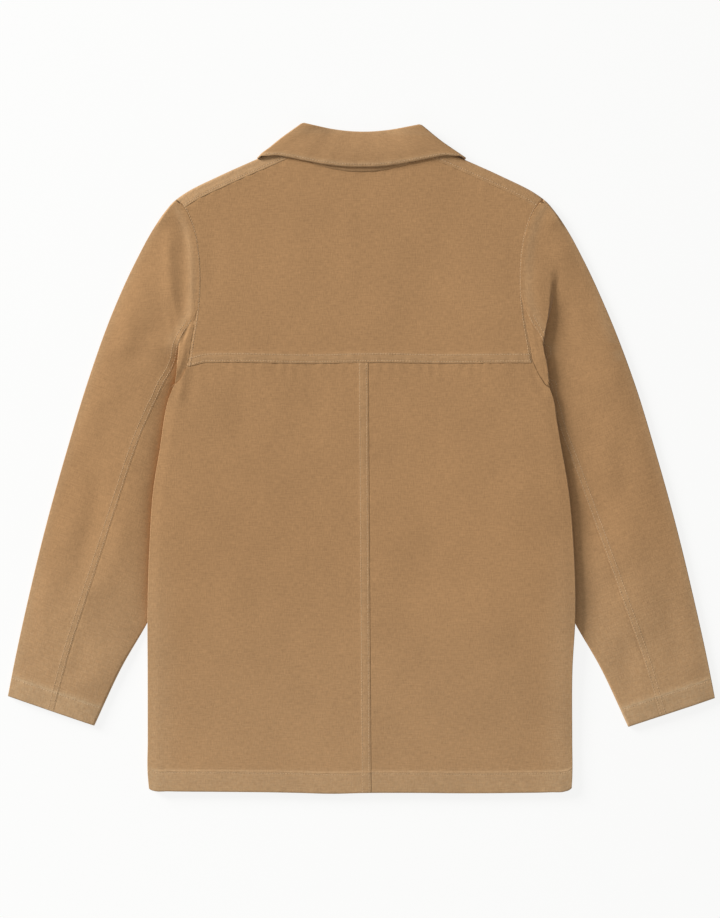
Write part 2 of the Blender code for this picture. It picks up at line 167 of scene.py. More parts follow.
SLEEVE_ARM = table(
    "outer_y inner_x inner_y left_seam right_seam front_seam",  # stations from the underarm to the cuff
    (113.3, 207.5, 79.2, 0.810, 0.893, 0.81),
    (106.4, 198.6, 68, 0.716, 0.827, 0.83),
    (90.3, 182.9, 44.3, 0.587, 0.703, 0.81),
    (62.7, 175.4, 12.1, 0.502, 0.633, 0.80),
    (29.3, 177.1, -24.7, 0.460, 0.582, 0.80),
    (-14.4, 187.5, -68.4, 0.444, 0.555, 0.80),
    (-69, 211.6, -119, 0.456, 0.561, 0.80),
    (-139.7, 243.6, -184.6, 0.468, 0.571, 0.80),
    (-200.7, 275.9, -240.9, 0.496, 0.598, 0.80),
    (-271.2, 306, -305.3, 0.532, 0.636, 0.80),
)
CROWNS = (0.92, 0.84)  # left, right: the sleeve's height below the head, as a share of its greatest
FOOT = ((5.3, 11.0), (0.8, 10.0))  # left, right: the sleeve's rise beside the body, and over what distance
SLEEVE_WAY = (-0.33, 0.944)  # along the sleeve at +X, from the cuff up
SLEEVES_SHIFT = 1.2  # both sleeves lie this far towards the wearer's right
SLEEVE_DRAWN = (1.0, 3.4)  # left, right: how far the cuff lies below where both would end alike
SHELF_HIGH = 11.6  # height of the right sleeve's cloth between the armhole and its crevice
FRONT_LAP = 14.0  # how far each front runs past the middle
FRONT_SCOOP = 6.0  # how much deeper the front armhole is
SIDE_SEAM_IN = 13.0  # from the folded sides to the fronts' edges
SEAM = 0.3  # gap where two pieces meet edge to edge
LAP = 2.6  # how far a lower piece runs on under the seam's upper piece
OVER_EDGE = 0.5  # how far a sleeve's edge lies over the body's at the armhole
LAP_SINK = 0.45  # how much lower it lies there
SEAM_RISE = 0.42  # how much higher the upper piece lies
UNDER_SLEEVE_START = 4.3  # the station of SLEEVE_HEAD where the under sleeve's point begins

NECKLINE = table(
    "x back_y front_y",  # from the middle to the shoulder
    (-20, 329, 300),
    (0, 329, 300),
    (26, 330.8, 307),
    (44, 334.6, 317),
    (62, 341, 335),
    (80, 353, 356),
)

COLLAR = table(
    "free_x free_y roll_x roll_y neck_x neck_y top",  # rulings from the collar's point round to the back
    (62, 262, 10, 316, 8, 301, 0),
    (92, 305, 42, 352, 48, 318.5, 0),
    (120, 345.6, 70, 383.6, 85, 343, 0.5),
    (98, 348, 55, 380.7, 76, 352, 1),
    (70, 343, 38, 377.3, 60, 341, 1),
    (44, 338, 22, 375, 40, 334.6, 1),
    (20, 335.2, 10, 373.9, 18, 330.4, 1),
    (0, 334.6, 0, 373.6, 0, 329.6, 1),
)
BUTTON = table(
    "r z",  # from the dished face, over the rim, to the middle of the back
    (5.2, 0.70),
    (5.9, 0.45),
    (6.5, 0.08),
    (7.2, 0),
    (8.2, 0.12),
    (8.8, 0.50),
    (9, 1.10),
    (8.9, 1.80),
    (8.3, 2.40),
    (6, 2.60),
    (0, 2.60),
)
BUTTONS = [f"button_{number + 1}" for number in range(5)]
BUTTON_HOLE_AT = 1.7  # each way from the middle
BUTTON_HOLE = 0.9  # radius of each hole
BUTTON_WELL = 1.3  # depth of the holes
RIM_POINTS = 48  # round a button
HOLE_POINTS = 12  # round a hole
COLLAR_SHIFT = 2.0  # the collar lies a little towards the wearer's right

# Where the sleeve's cloth turns under, beside the armhole: above it the fold dies out.
SLEEVE_CREVICE = table(
    "y left right",
    (240, 189, 225),
    (198, 188, 222),
    (182, 188.5, 219.7),
    (164, 189.8, 216),
    (158, 194, 214.6),
    (149, 199.8, 212.6),
    (139, 205.5, 210.8),
    (130, 208.2, 209.9),
    (122, 209.2, 211.2),
    (111, 210.4, 213.4),
    (99, 211.6, 214.8),
    (82.2, 214.4, 217.4),
)

# Creases: troughs have a positive depth and ridges a negative one.
BODY_CREASES = table(
    "x0 y0 x1 y1 depth width",
    (-138, 96, -132, 5, 0.55, 13),
    (-92, 92, -94, 38, -0.45, 15),
    (-52, 76, -50, 14, 0.35, 12),
    (-200, 114, -208, 66, -0.90, 4.5),
    (-190, 102, -197, 60, 0.55, 7),
    (196, 104, 212, 70, 0.70, 5),
    (214, -205, 206, -366, 0.90, 26),
    (140, -150, 156, -220, -0.60, 20),
    (88, -84, 74, -156, 0.55, 20),
    (-118, -96, -122, -190, 0.50, 18),
    (-176, -250, -150, -330, -0.50, 22),
    (58, 70, 66, -10, -0.30, 16),
    (172, 40, 190, -60, -0.50, 22),
    (-172, 268, -168, 180, 0.55, 12),
    (-12, 300, -12, 196, -0.40, 11),
    (-104, 282, -96, 206, 0.45, 20),
    (112, 268, 84, 188, 0.45, 22),
    (158, 236, 164, 150, -0.40, 16),
)

SLEEVE_CREASES = table(
    "x0 y0 x1 y1 depth width",
    (-203.5, 268, -201.5, 150, 0.85, 7.5),
    (-220, 262, -215, 150, -1, 6.5),
    (-218, 188, -209.5, 124, 0.60, 3.5),
    (-194, 158, -205, 134, 0.90, 2.4),
    (-241, 156, -262, 96, 0.55, 12),
    (-262, 176, -276, 118, -0.60, 12),
    (-299, -20, -330, -150, 1, 12),
    (-268, -60, -296, -150, -0.60, 10),
    (-316, -196, -326, -250, 0.80, 15),
    (-352, -120, -372, -210, -0.60, 13),
    (-300, 60, -318, 10, -0.50, 14),
    (222, 238, 216, 150, 0.35, 8),
    (250, 190, 262, 120, -0.60, 14),
    (293, 20, 306, -44, 0.80, 12),
    (318, 40, 334, -30, -0.50, 12),
    (299, -205, 314, -268, 1, 12),
    (352, -150, 366, -230, 0.80, 13),
    (268, -110, 292, -176, -0.60, 11),
)


class JacketSizes(bpy.types.PropertyGroup):
    """Sizes of the cloth and of how it lies."""

    wall: bpy.props.FloatProperty(
        name="Canvas", description="Thickness of the brushed canvas", default=1.0 * MM, unit="LENGTH"
    )
    leaf_wall: bpy.props.FloatProperty(
        name="Collar leaf",
        description="Thickness of the two-ply collar leaf",
        default=1.9 * MM,
        unit="LENGTH",
    )
    body_loft: bpy.props.FloatProperty(
        name="Body loft",
        description="Height of the back's outer face on the floor",
        default=7.4 * MM,
        unit="LENGTH",
    )
    tuck_rise: bpy.props.FloatProperty(
        name="Tuck rise",
        description="How high the body's sides lie on the sleeves",
        default=3.4 * MM,
        unit="LENGTH",
    )
    sleeve_pressed: bpy.props.FloatProperty(
        name="Pressed sleeve", description="Sleeve thickness under the body", default=2.6 * MM, unit="LENGTH"
    )
    sleeve_edge: bpy.props.FloatProperty(
        name="Sleeve fold", description="Sleeve thickness at its folded edge", default=5.2 * MM, unit="LENGTH"
    )
    sleeve_crown: bpy.props.FloatProperty(
        name="Sleeve crown", description="Greatest sleeve thickness", default=8.4 * MM, unit="LENGTH"
    )
    collar_stack: bpy.props.FloatProperty(
        name="Collar stack",
        description="Collar height where it turns round the neck",
        default=12.5 * MM,
        unit="LENGTH",
    )
    stitch: bpy.props.FloatProperty(
        name="Stitch", description="Length from one stitch to the next", default=3.1 * MM, unit="LENGTH"
    )
    thread: bpy.props.FloatProperty(
        name="Thread", description="Diameter of the topstitching thread", default=0.65 * MM, unit="LENGTH"
    )


class JacketColours(bpy.types.PropertyGroup):
    """Colours of the cloth, thread, buttons and stage, as sRGB."""

    canvas: bpy.props.StringProperty(name="Canvas", description="The cloth, sRGB hex", default="A57E55")
    # The rubbed colour is also mixed in as painted light, towards the hem and cuffs and as a painted
    # highlight on the left shoulder strip.
    rubbed: bpy.props.StringProperty(
        name="Rubbed", description="Rubbed seams and edges, sRGB hex", default="C0AB8A"
    )
    thread: bpy.props.StringProperty(name="Thread", description="Topstitching, sRGB hex", default="C5A37A")
    horn: bpy.props.StringProperty(
        name="Buttons", description="Horn-like buttons, sRGB hex", default="4A3526"
    )
    floor: bpy.props.StringProperty(name="Floor", description="The pale floor, sRGB hex", default="F7F7F6")


def hand_of(side):
    """The wearer's hand on this side of the middle."""
    return "left" if side < 0 else "right"


def size_of(name):
    """A size from the panel, in millimetres."""
    return getattr(bpy.context.scene.jacket_sizes, name) / MM


def linear(hex_colour):
    """An sRGB hex colour as linear RGBA."""
    channels = np.array([int(hex_colour[i : i + 2], 16) for i in (0, 2, 4)]) / 255
    made = np.where(channels <= 0.04045, channels / 12.92, ((channels + 0.055) / 1.055) ** 2.4)
    return (*made.tolist(), 1.0)


def colour(name):
    """A colour from the panel, as linear RGBA."""
    return linear(getattr(bpy.context.scene.jacket_colours, name))


# Curves and fields


def ease(value, start, end):
    """0 up to start, 1 from end on, and between them 3 t squared less 2 t cubed of the share t of the way."""
    share = np.clip((value - start) / (end - start), 0, 1)
    return share * share * (3 - 2 * share)


def bell(value, width):
    """1 at 0, falling off on both sides as exp(-(value / width) squared)."""
    return np.exp(-((value / width) ** 2))


def through(xs, ys, at):
    """A smooth curve through a table's rows: cubic Hermite pieces with slopes taken from the neighbours."""
    order = np.argsort(xs)
    xs, ys = xs[order], ys[order]
    slopes = np.gradient(ys, xs)
    at = np.clip(at, xs[0], xs[-1])
    row = np.clip(np.searchsorted(xs, at) - 1, 0, len(xs) - 2)
    step = xs[row + 1] - xs[row]
    t = (at - xs[row]) / step
    start = (2 * t**3 - 3 * t**2 + 1) * ys[row] + (t**3 - 2 * t**2 + t) * step * slopes[row]
    end = (3 * t**2 - 2 * t**3) * ys[row + 1] + (t**3 - t**2) * step * slopes[row + 1]
    return start + end


def between_rows(columns, at):
    """A table's columns at places between its rows, which count from 0."""
    number = np.arange(len(next(iter(columns.values()))))
    return {key: through(number, column, at) for key, column in columns.items()}


def waves(x, y, length, seed):
    """A smooth uneven field of about -1 to 1: seven plane waves near this wavelength, their sum divided by
    3.2."""
    draw = np.random.default_rng(seed)
    total = np.zeros(np.broadcast(x, y).shape)
    for _ in range(7):
        heading, phase = draw.uniform(0, 2 * np.pi, 2)
        wavelength = length * draw.uniform(0.7, 1.5)
        along = x * np.cos(heading) + y * np.sin(heading)
        total = total + np.cos(2 * np.pi * along / wavelength + phase)
    return total / 3.2


def creases(rows, x, y):
    """Listed creases: each is a rounded trough or ridge along a line, fading out at both of its ends.
    Its height is its depth times a bell of the distance from the line, which is itself bent a little by a
    sine."""
    height = np.zeros(np.broadcast(x, y).shape)
    for x0, y0, x1, y1, depth, width in zip(*rows.values()):
        run = np.array([x1 - x0, y1 - y0])
        length = np.hypot(*run)
        along = ((x - x0) * run[0] + (y - y0) * run[1]) / length
        across = ((y - y0) * run[0] - (x - x0) * run[1]) / length
        bend = across + 0.12 * width * np.sin(along / length * 5 + x0)
        fade = ease(along, -0.15 * length, 0.25 * length) * (1 - ease(along, 0.75 * length, 1.15 * length))
        height = height - depth * bell(bend, width) * fade
    return height


def lower_of(first, second):
    """The lower of two heights, blended where they are within about a millimetre: minus the logarithm of
    exp(-1.2 first) + exp(-1.2 second), over 1.2."""
    return -np.logaddexp(-1.2 * first, -1.2 * second) / 1.2


def spread(*stops):
    """Positions from the first stop on, with (stop, cell size) up to each next one."""
    places = [np.array([stops[0]], float)]
    for stop, cell in stops[1:]:
        count = max(int(round((stop - places[-1][-1]) / cell)), 1)
        places.append(np.linspace(places[-1][-1], stop, count + 1)[1:])
    return np.concatenate(places)


def stack(x, y, z):
    """Points from their three coordinates, each spread over the others' rows and columns."""
    return np.stack(np.broadcast_arrays(x, y, z), axis=-1)


def turn(count):
    """Angles round a fold, from its top to its underside, without the top itself."""
    return np.linspace(0, np.pi, count + 1)[1:]


# How the jacket lies


def outline(y):
    """How far out the shoulder, sleeve head and outer fold lie: a smooth curve through OUTLINE."""
    return through(OUTLINE["y"], OUTLINE["x"], y)


def armhole(y):
    """How far out the back armhole lies: a smooth curve through ARMHOLE."""
    return through(ARMHOLE["y"], ARMHOLE["x"], y)


def front_armhole(y):
    """The back armhole, scooped further in between the shoulder and the underarm by half a sine wave."""
    share = np.clip((y - UNDERARM_Y) / (ARMHOLE["y"][0] - UNDERARM_Y), 0, 1)
    return armhole(y) - FRONT_SCOOP * np.sin(np.pi * share)


def body_side(y, side):
    """How far out the body's folded side lies: a smooth curve through SIDE."""
    return through(SIDE["y"], SIDE[hand_of(side)], y)


def half_width(y, side):
    """The body's half width: its folded side below the underarm, the armhole above."""
    return np.where(y > UNDERARM_Y, armhole(np.maximum(y, UNDERARM_Y)), body_side(y, side))


def sleeve_fold(y):
    """How far from the middle the sleeve's inner fold lies under the body."""
    beyond = 0.5 * np.maximum(y - UNDERARM_Y, 0)
    return through(SLEEVE_ARM["inner_y"], SLEEVE_ARM["inner_x"], y) + beyond


def under_body(x, y):
    """Height of the fronts' outer face: on the floor, but raised over buttons, collar points and sleeves.
    The three rises are joined as the cube root of the sum of their cubes."""
    x = np.abs(x)
    on_buttons = 3.1 * (1 - ease(x, FRONT_LAP, 54))
    # how far beyond the free edge of the collar's point
    past_collar = (x - COLLAR["free_x"][0]) * 0.832 - (y - COLLAR["free_y"][0]) * 0.555
    on_collar = 2.3 * (1 - ease(past_collar, 16, 60)) * ease(y, 195, 240)
    fold = sleeve_fold(y)
    on_sleeve = size_of("tuck_rise") * ease(x, fold - 48, fold - 6)
    return (on_buttons**3 + on_collar**3 + on_sleeve**3) ** (1 / 3)


def back_level(x, y):
    """Height of the back before its creases: it spans what lies under it, so it rises slowly to the
    sleeves."""
    beside = ease(np.abs(x), 40, 225) * (1 - ease(y, 120, 280)) * ease(y, -330, -150)
    return size_of("body_loft") + size_of("tuck_rise") * beside


def over_body(x, y):
    """Height of the back's outer face, with its creases and the unevenness of soft cloth."""
    uneven = 0.20 * waves(x, y, 95, 3) + 0.07 * waves(x, y, 34, 4)
    return back_level(x, y) + 0.75 * creases(BODY_CREASES, x, y) + uneven


def sleeve_inner_thickness(y):
    """Thickness at the sleeve's inner fold: pressed under the body, rounder where it lies free."""
    pressed, free = size_of("sleeve_pressed"), size_of("sleeve_edge")
    return pressed + (free - pressed) * (1 - ease(y, -250, -170))


def crevice(y, side):
    """How far from the middle the sleeve's cloth turns under: beside the armhole, then at the body's side."""
    beside = through(SLEEVE_CREVICE["y"], SLEEVE_CREVICE[hand_of(side)], y)
    return np.where(y > UNDERARM_Y, beside, body_side(y, side))


def over_sleeve(x, y, from_outer, from_inner):
    """Height of the sleeve's outer face, from its place and its distances to the station's two ends.

    Outwards from the armhole the cloth first lies level with the body, or on the right a little higher. At
    the crevice it turns under, and from the valley it rises to the crown as 1 - exp(-distance / reach).
    The crevice dies out up the sleeve head, and below the underarm it is the body's own folded side. Both
    edges of the sleeve limit its height in the same way, and the lowest of the three counts.
    """
    left = x < 0
    foot, reach = (np.where(left, *both) for both in zip(*FOOT))
    pressed, edge = size_of("sleeve_pressed"), size_of("sleeve_edge") - 1.6 * ease(y, 276, 294)
    crown = size_of("sleeve_crown") * np.where(left, *CROWNS)
    line = np.where(left, crevice(y, -1), crevice(y, 1))
    past = np.abs(x) - line
    at_armhole = armhole(np.maximum(y, UNDERARM_Y))
    clear = np.abs(x) - at_armhole
    deep = np.where(left, 1 - ease(y, 112, 136), 1 - ease(y, 150, 240))
    at_seam = over_body(np.where(left, -at_armhole, at_armhole), y)
    foot_rise = foot * (1 - np.exp(-np.maximum(past, 0) / reach))
    outside = pressed + foot_rise + (crown - pressed - foot) * ease(past, 14, 80)
    roll = at_seam + np.where(left, 0.5, np.maximum(SHELF_HIGH - at_seam, 0.5)) * ease(clear, 1.5, 20)
    soften = np.where(left, 1, 1 + 16 * ease(y, 150, 225))
    folded = roll + (outside - roll) * ease(past / soften, -0.4, 0.4)
    plain = at_seam + (crown + 0.8 - at_seam) * ease(clear, 2, 34)
    head = plain + (folded - plain) * deep
    height = np.where(y > UNDERARM_Y, head, outside)
    high = crown + np.maximum(at_seam + 1.5 - crown, 0) * ease(y, 40, 100)
    outer_limit = edge + (high + 2 - edge) * (1 - np.exp(-from_outer / 50))
    outer_limit = outer_limit + 8 * ease(y, 262, 292) * ease(from_outer, -1, 4)
    inner = sleeve_inner_thickness(y)
    free_inner = inner + (crown + 1 - inner) * (1 - np.exp(-np.maximum(from_inner, 0) / 30))
    inner_limit = free_inner + 8 * ease(y, -170, -110)
    height = lower_of(lower_of(height, outer_limit), inner_limit)
    soft = creases(SLEEVE_CREASES, x, y) + 0.34 * waves(x, y, 80, 5) + 0.14 * waves(x, y, 30, 6)
    beside = np.where(y > UNDERARM_Y + 6, ease(clear, 1, 8), ease(past, 0, 12))
    return height + soft * beside * ease(from_outer, 2, 16)


# Seams


def felled(distance, width, rows):
    """Height of a lapped seam's band at a distance from its edge: thicker, sunk at each row of stitches,
    and soft at its inner side."""
    band = SEAM_RISE * (1 - ease(distance, width - 1.5, width + 2.5)) - 0.3 * bell(distance, 0.8)
    for row in rows:
        band = band - 0.2 * bell(distance - row, 0.9)
    return band


def sunk(distance):
    """How far a lower piece dips at a distance from a seam's edge, which is negative where it runs under
    it."""
    return LAP_SINK * (1 - ease(distance, -2.0, 1.2))


def pucker(distance, along, reach, seed):
    """The small ripples that stitching draws across a seam: a sine of the way along, whose phase wanders,
    and uneven waves, both under a bell of the distance, which is strongest at the seam."""
    ripple = np.sin(along / 2.3 + 2.2 * waves(along, along * 0, 60, seed))
    ripple = ripple + 0.8 * waves(along, distance, 14, seed + 1)
    return 0.13 * ripple * bell(distance, reach)


def roping(distance, along, width, seed):
    """Slanting ripples in a turned and stitched hem, where the two plies creep past each other: a sine of
    the way along plus 0.9 of the way in, whose phase wanders, and uneven waves."""
    slanted = along + 0.9 * distance
    ripple = np.sin(slanted / 3.4 + 2.6 * waves(along, along * 0, 90, seed))
    ripple = ripple + 0.7 * waves(slanted, distance * 0, 17, seed)
    inside = ease(distance, 0, 3) * (1 - ease(distance, width - 3, width + 2))
    return 0.24 * ripple * inside


def turned_up(distance, along, width, ply, ropes, seed):
    """Height of a turned hem or cuff at a distance from its edge: thicker by its second ply, grooved at
    its stitches and roped, with a rounded edge."""
    thick = ply * (1 - ease(distance, width - 0.4, width + 1.6))
    thick = thick - 0.3 * bell(distance - width + TURN_ROW, 0.9)
    return thick + ropes * roping(distance, along, width, seed) - 0.5 * bell(distance, 0.8)


def run_across(grid):
    """Distances along each row of a grid, from its first column."""
    step = np.linalg.norm(np.diff(grid, axis=1), axis=2)
    return np.concatenate([np.zeros((len(grid), 1)), np.cumsum(step, axis=1)], axis=1)


def inset(grid, distance, side):
    """The line on a panel's face at a distance in from one side of its grid: a point for each row or
    column, between the two grid points that lie nearer and further."""
    inwards = {"first": grid, "last": grid[:, ::-1]}
    inwards |= {"low": grid.transpose(1, 0, 2), "high": grid[::-1].transpose(1, 0, 2)}
    near = inwards[side][:, :60]
    run = run_across(near)
    cell = np.clip((run < distance).sum(axis=1) - 1, 0, near.shape[1] - 2)
    row = np.arange(len(near))
    span = np.maximum(run[row, cell + 1] - run[row, cell], 1e-6)
    share = np.clip((distance - run[row, cell]) / span, 0, 1)[:, None]
    return near[row, cell] * (1 - share) + near[row, cell + 1] * share


# Meshes


def all_cells(grid):
    """True for every cell of a grid."""
    return np.ones((grid.shape[0] - 1, grid.shape[1] - 1), bool)


def add_mesh(name, points, faces, material):
    """A smooth-shaded mesh from points in millimetres, riding on the root body, with its material."""
    mesh = bpy.data.meshes.new(name)
    mesh.from_pydata((points * MM).tolist(), [], faces if isinstance(faces, list) else faces.tolist())
    mesh.materials.append(material)
    mesh.update()
    mesh.shade_smooth()
    made = bpy.data.objects.new(name, mesh)
    bpy.context.scene.collection.objects.link(made)
    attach(made, "root")
    return made


def cloth(node, grid, weave, rub, wall="wall", keep=None, flip=False):
    """A panel of cloth in place of a node, from its outer face: rows by columns of points, and the wall
    grown inwards.

    weave is each point's place on the flat cloth, in millimetres, and rub how far it is rubbed pale, which on
    the left shoulder strip is partly a painted highlight. The cloth is also a little paler towards the hem
    and
    cuffs: painted light, standing in for the brighter light there, added into the same rub attribute.
    """
    rows, columns = grid.shape[:2]
    index = np.arange(rows * columns).reshape(rows, columns)
    cells = np.stack([index[:-1, :-1], index[:-1, 1:], index[1:, 1:], index[1:, :-1]], axis=-1)
    cells = cells[keep] if keep is not None else cells.reshape(-1, 4)
    cells = cells[:, ::-1] if flip else cells
    used, corners = np.unique(cells, return_inverse=True)
    corners = corners.reshape(-1, 4)
    points = grid.reshape(-1, 3)[used]
    made = add_mesh(f"{node}_canvas", points, corners, canvas())
    flat = weave.reshape(-1, 2)[used]
    layer = made.data.uv_layers.new(name="weave")
    layer.uv.foreach_set("vector", (flat[corners.reshape(-1)] * MM).astype(np.float32).ravel())
    # Painted light: the cloth is painted paler towards the hem and on the lower sleeves, standing in for the
    # brighter light there; it is added to the rub, so the rub attribute holds both rubbed wear and painted
    # light.
    on_sleeve = ease(np.abs(grid[..., 0]), 200, 240) * (1 - ease(grid[..., 1], -230, -30))
    paler = 0.14 * (1 - ease(grid[..., 1], HEM_Y, -60)) + 0.15 * on_sleeve
    rub_and_painted_light = np.clip(rub + paler, 0, 1).reshape(-1)[used]
    made.data.attributes.new("rub", "FLOAT", "POINT").data.foreach_set("value", rub_and_painted_light.astype(np.float32))
    solid = made.modifiers.new("cloth wall", "SOLIDIFY")
    solid.thickness = size_of(wall) * MM
    solid.offset = -1
    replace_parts(made, node)
    width, length = np.ptp(flat, axis=0)
    return made


def tube(index):
    """The quads of a tube, from the numbers of its points, a row for each ring."""
    after = np.roll(index, -1, axis=1)
    return np.stack([index[:-1], after[:-1], after[1:], index[1:]], axis=-1).reshape(-1, 4)


def unit(vectors):
    """Vectors at a length of one."""
    return vectors / np.maximum(np.linalg.norm(vectors, axis=-1, keepdims=True), 1e-6)


def stitches(name, lines, material):
    """Rows of stitches along lines on the cloth: each stitch is a short six-sided bar with tapered ends
    that dip into the cloth, and all of them are one mesh. A bar covers three quarters of each stitch's
    length."""
    pitch, radius = size_of("stitch"), size_of("thread") / 2
    draw = np.random.default_rng(11)
    middles, ways = [], []
    for line in lines:
        step = np.linalg.norm(np.diff(line, axis=0), axis=1)
        run = np.concatenate([[0], np.cumsum(step)])
        count = int(run[-1] / pitch)
        at = (np.arange(count) + 0.5) * pitch + draw.uniform(-0.12, 0.12, count) * pitch
        middle, ahead, behind = (
            np.stack([np.interp(at + step, run, line[:, i]) for i in range(3)], axis=1)
            for step in (0, 0.6, -0.6)
        )
        middles.append(middle)
        ways.append(unit(ahead - behind))
    middle, way = np.concatenate(middles), np.concatenate(ways)
    across = unit(np.cross(way, [0, 0, 1.0]))
    up = np.cross(across, way)
    stations = np.array([-1.0, -0.85, -0.45, 0.45, 0.85, 1.0]) * 0.38 * pitch
    thick = np.array([0.3, 0.75, 1.0, 1.0, 0.75, 0.3]) * radius
    sink = np.array([-1.0, -0.3, 0.25, 0.25, -0.3, -1.0]) * radius
    angle = np.arange(6) * np.pi / 3
    bar = middle[:, None, None, :] + stations[None, :, None, None] * way[:, None, None, :]
    bar = bar + (thick[:, None] * np.cos(angle))[None, :, :, None] * across[:, None, None, :]
    bar = bar + (sink[:, None] + thick[:, None] * np.sin(angle))[None, :, :, None] * up[:, None, None, :]
    points = bar.reshape(-1, 3)
    ends = [[0, 5, 4, 3], [0, 3, 2, 1], [30, 31, 32, 33], [30, 33, 34, 35]]
    one = np.concatenate([tube(np.arange(36).reshape(6, 6)), ends])
    faces = (one[None] + 36 * np.arange(len(middle))[:, None, None]).reshape(-1, 4)
    return add_mesh(name, points, faces[:, ::-1], material)


# Materials


def add_node(tree, kind, inputs, **settings):
    """Adds a shader node with its settings. An input's value is a number, a vector or a colour, or it is
    the node (by its first output) or the socket that is linked to it."""
    node = tree.nodes.new("ShaderNode" + kind)
    for key, value in settings.items():
        setattr(node, key, value)
    for key, value in inputs.items():
        if isinstance(value, bpy.types.Node):
            value = value.outputs[0]
        if isinstance(value, bpy.types.NodeSocket):
            tree.links.new(value, node.inputs[key])
        else:
            node.inputs[key].default_value = value
    return node


def new_material(name, settings):
    """A material whose shader has these settings on its own sockets, with its node tree and its shader."""
    material = bpy.data.materials.new(name)
    material.use_nodes = True
    shader = material.node_tree.nodes["Principled BSDF"]
    for key, value in settings.items():
        shader.inputs[key].default_value = value
    return material, material.node_tree, shader


def tinted(base, gain, lift=0.0):
    """A linear colour made darker or paler."""
    return tuple(min(gain * c + lift, 1) for c in base[:3]) + (1.0,)


def brushed_canvas(name, base, rubbed):
    """Cotton canvas, plain woven from slubby yarn, garment-washed and brushed.

    That gives the eye a matt, faintly fuzzy face: short pale and dark slubs along both yarns, a soft
    mottle from washing, a sheen at grazing light, and paler seams where the nap has rubbed off. The rub
    attribute also carries painted light: paler towards the hem and cuffs, and a painted highlight on the
    left shoulder strip.
    """
    settings = {"Roughness": 0.92, "IOR": 1.45, "Specular IOR Level": 0.18}
    settings |= {"Sheen Weight": 0.22, "Sheen Roughness": 0.55, "Sheen Tint": (1.0, 0.9, 0.78, 1.0)}
    material, tree, shader = new_material(name, settings)
    # The weave's own map and the object's place are both in metres. The real yarns, about 0.7 mm apart, are
    # too fine to show, so they are drawn about 1.4 mm apart, with slubs that run 6 to 8 mm along the yarn.
    place = add_node(tree, "UVMap", {}, uv_map="weave")
    where = add_node(tree, "TexCoord", {}).outputs["Object"]
    warp_at = add_node(tree, "Mapping", {"Scale": (760.0, 170.0, 1.0), "Vector": place})
    weft_at = add_node(tree, "Mapping", {"Scale": (120.0, 690.0, 1.0), "Vector": place})
    warp = add_node(tree, "TexNoise", {"Scale": 1.0, "Detail": 2.0, "Vector": warp_at})
    weft = add_node(tree, "TexNoise", {"Scale": 1.0, "Detail": 2.0, "Vector": weft_at})
    yarns = add_node(tree, "Math", {0: warp, 1: weft}, operation="ADD")
    mottle = add_node(tree, "TexNoise", {"Scale": 16.0, "Detail": 3.0, "Vector": where})
    fuzz = add_node(tree, "TexNoise", {"Scale": 420.0, "Detail": 3.0, "Vector": place})
    tone = add_node(tree, "MapRange", {0: yarns, 1: 0.6, 2: 1.4, 3: 0.84, 4: 1.16})
    wash = add_node(tree, "MapRange", {0: mottle, 1: 0.3, 2: 0.7, 3: 0.965, 4: 1.035})
    both = add_node(tree, "Math", {0: tone, 1: wash}, operation="MULTIPLY")
    # The rub attribute holds rubbed wear and painted light, both mixed towards the rubbed colour.
    rub_and_painted_light = add_node(tree, "Attribute", {}, attribute_name="rub")
    patch = add_node(tree, "TexNoise", {"Scale": 260.0, "Detail": 3.0, "Vector": place})
    patchy = add_node(tree, "MapRange", {0: patch, 1: 0.32, 2: 0.68, 3: 0.48, 4: 0.8})
    amount = add_node(tree, "Math", {0: rub_and_painted_light.outputs["Fac"], 1: patchy}, operation="MULTIPLY")
    mix = add_node(tree, "Mix", {0: amount, 6: base, 7: rubbed}, data_type="RGBA")
    shade = add_node(tree, "VectorMath", {0: mix.outputs[2], "Scale": both}, operation="SCALE")
    ridge = add_node(tree, "Math", {0: yarns, 1: fuzz}, operation="ADD")
    bump = add_node(tree, "Bump", {"Strength": 0.35, "Distance": 0.0004, "Height": ridge})
    tree.links.new(shade.outputs[0], shader.inputs["Base Color"])
    tree.links.new(bump.outputs[0], shader.inputs["Normal"])
    return material


def spun_thread(name, base):
    """Polyester-cotton topstitching thread, spun and softly lustrous: paler than the cloth, with a twist
    that shows as a fine change of tone, about 1 mm long."""
    material, tree, shader = new_material(name, {"Roughness": 0.6, "Sheen Weight": 0.2})
    where = add_node(tree, "TexCoord", {}).outputs["Object"]
    twist = add_node(tree, "TexNoise", {"Scale": 900.0, "Detail": 1.0, "Vector": where})
    mix = add_node(tree, "Mix", {0: twist, 6: tinted(base, 0.78), 7: base}, data_type="RGBA")
    tree.links.new(mix.outputs[2], shader.inputs["Base Color"])
    return material


def horn_polyester(name, base):
    """Cast polyester made to look like horn, tumbled half matt: brown with drawn-out paler streaks, 2 to
    16 mm long."""
    material, tree, shader = new_material(name, {"Roughness": 0.38, "IOR": 1.54})
    where = add_node(tree, "TexCoord", {}).outputs["Object"]
    drawn = add_node(tree, "Mapping", {"Scale": (60.0, 420.0, 200.0), "Vector": where})
    streak = add_node(tree, "TexNoise", {"Scale": 1.0, "Detail": 3.0, "Vector": drawn})
    share = add_node(tree, "MapRange", {0: streak, 1: 0.42, 2: 0.75, 3: 0.0, 4: 1.0})
    mix = add_node(tree, "Mix", {0: share, 6: base, 7: tinted(base, 2.4, 0.02)}, data_type="RGBA")
    tree.links.new(mix.outputs[2], shader.inputs["Base Color"])
    return material


def pale_floor(name, base):
    """A light table's frosted top: even, almost white and faintly lit from below, so shade on it stays
    soft."""
    settings = {"Base Color": (0.12, 0.12, 0.12, 1.0), "Roughness": 0.9, "Specular IOR Level": 0.1}
    return new_material(name, settings | {"Emission Color": base, "Emission Strength": 0.905})[0]


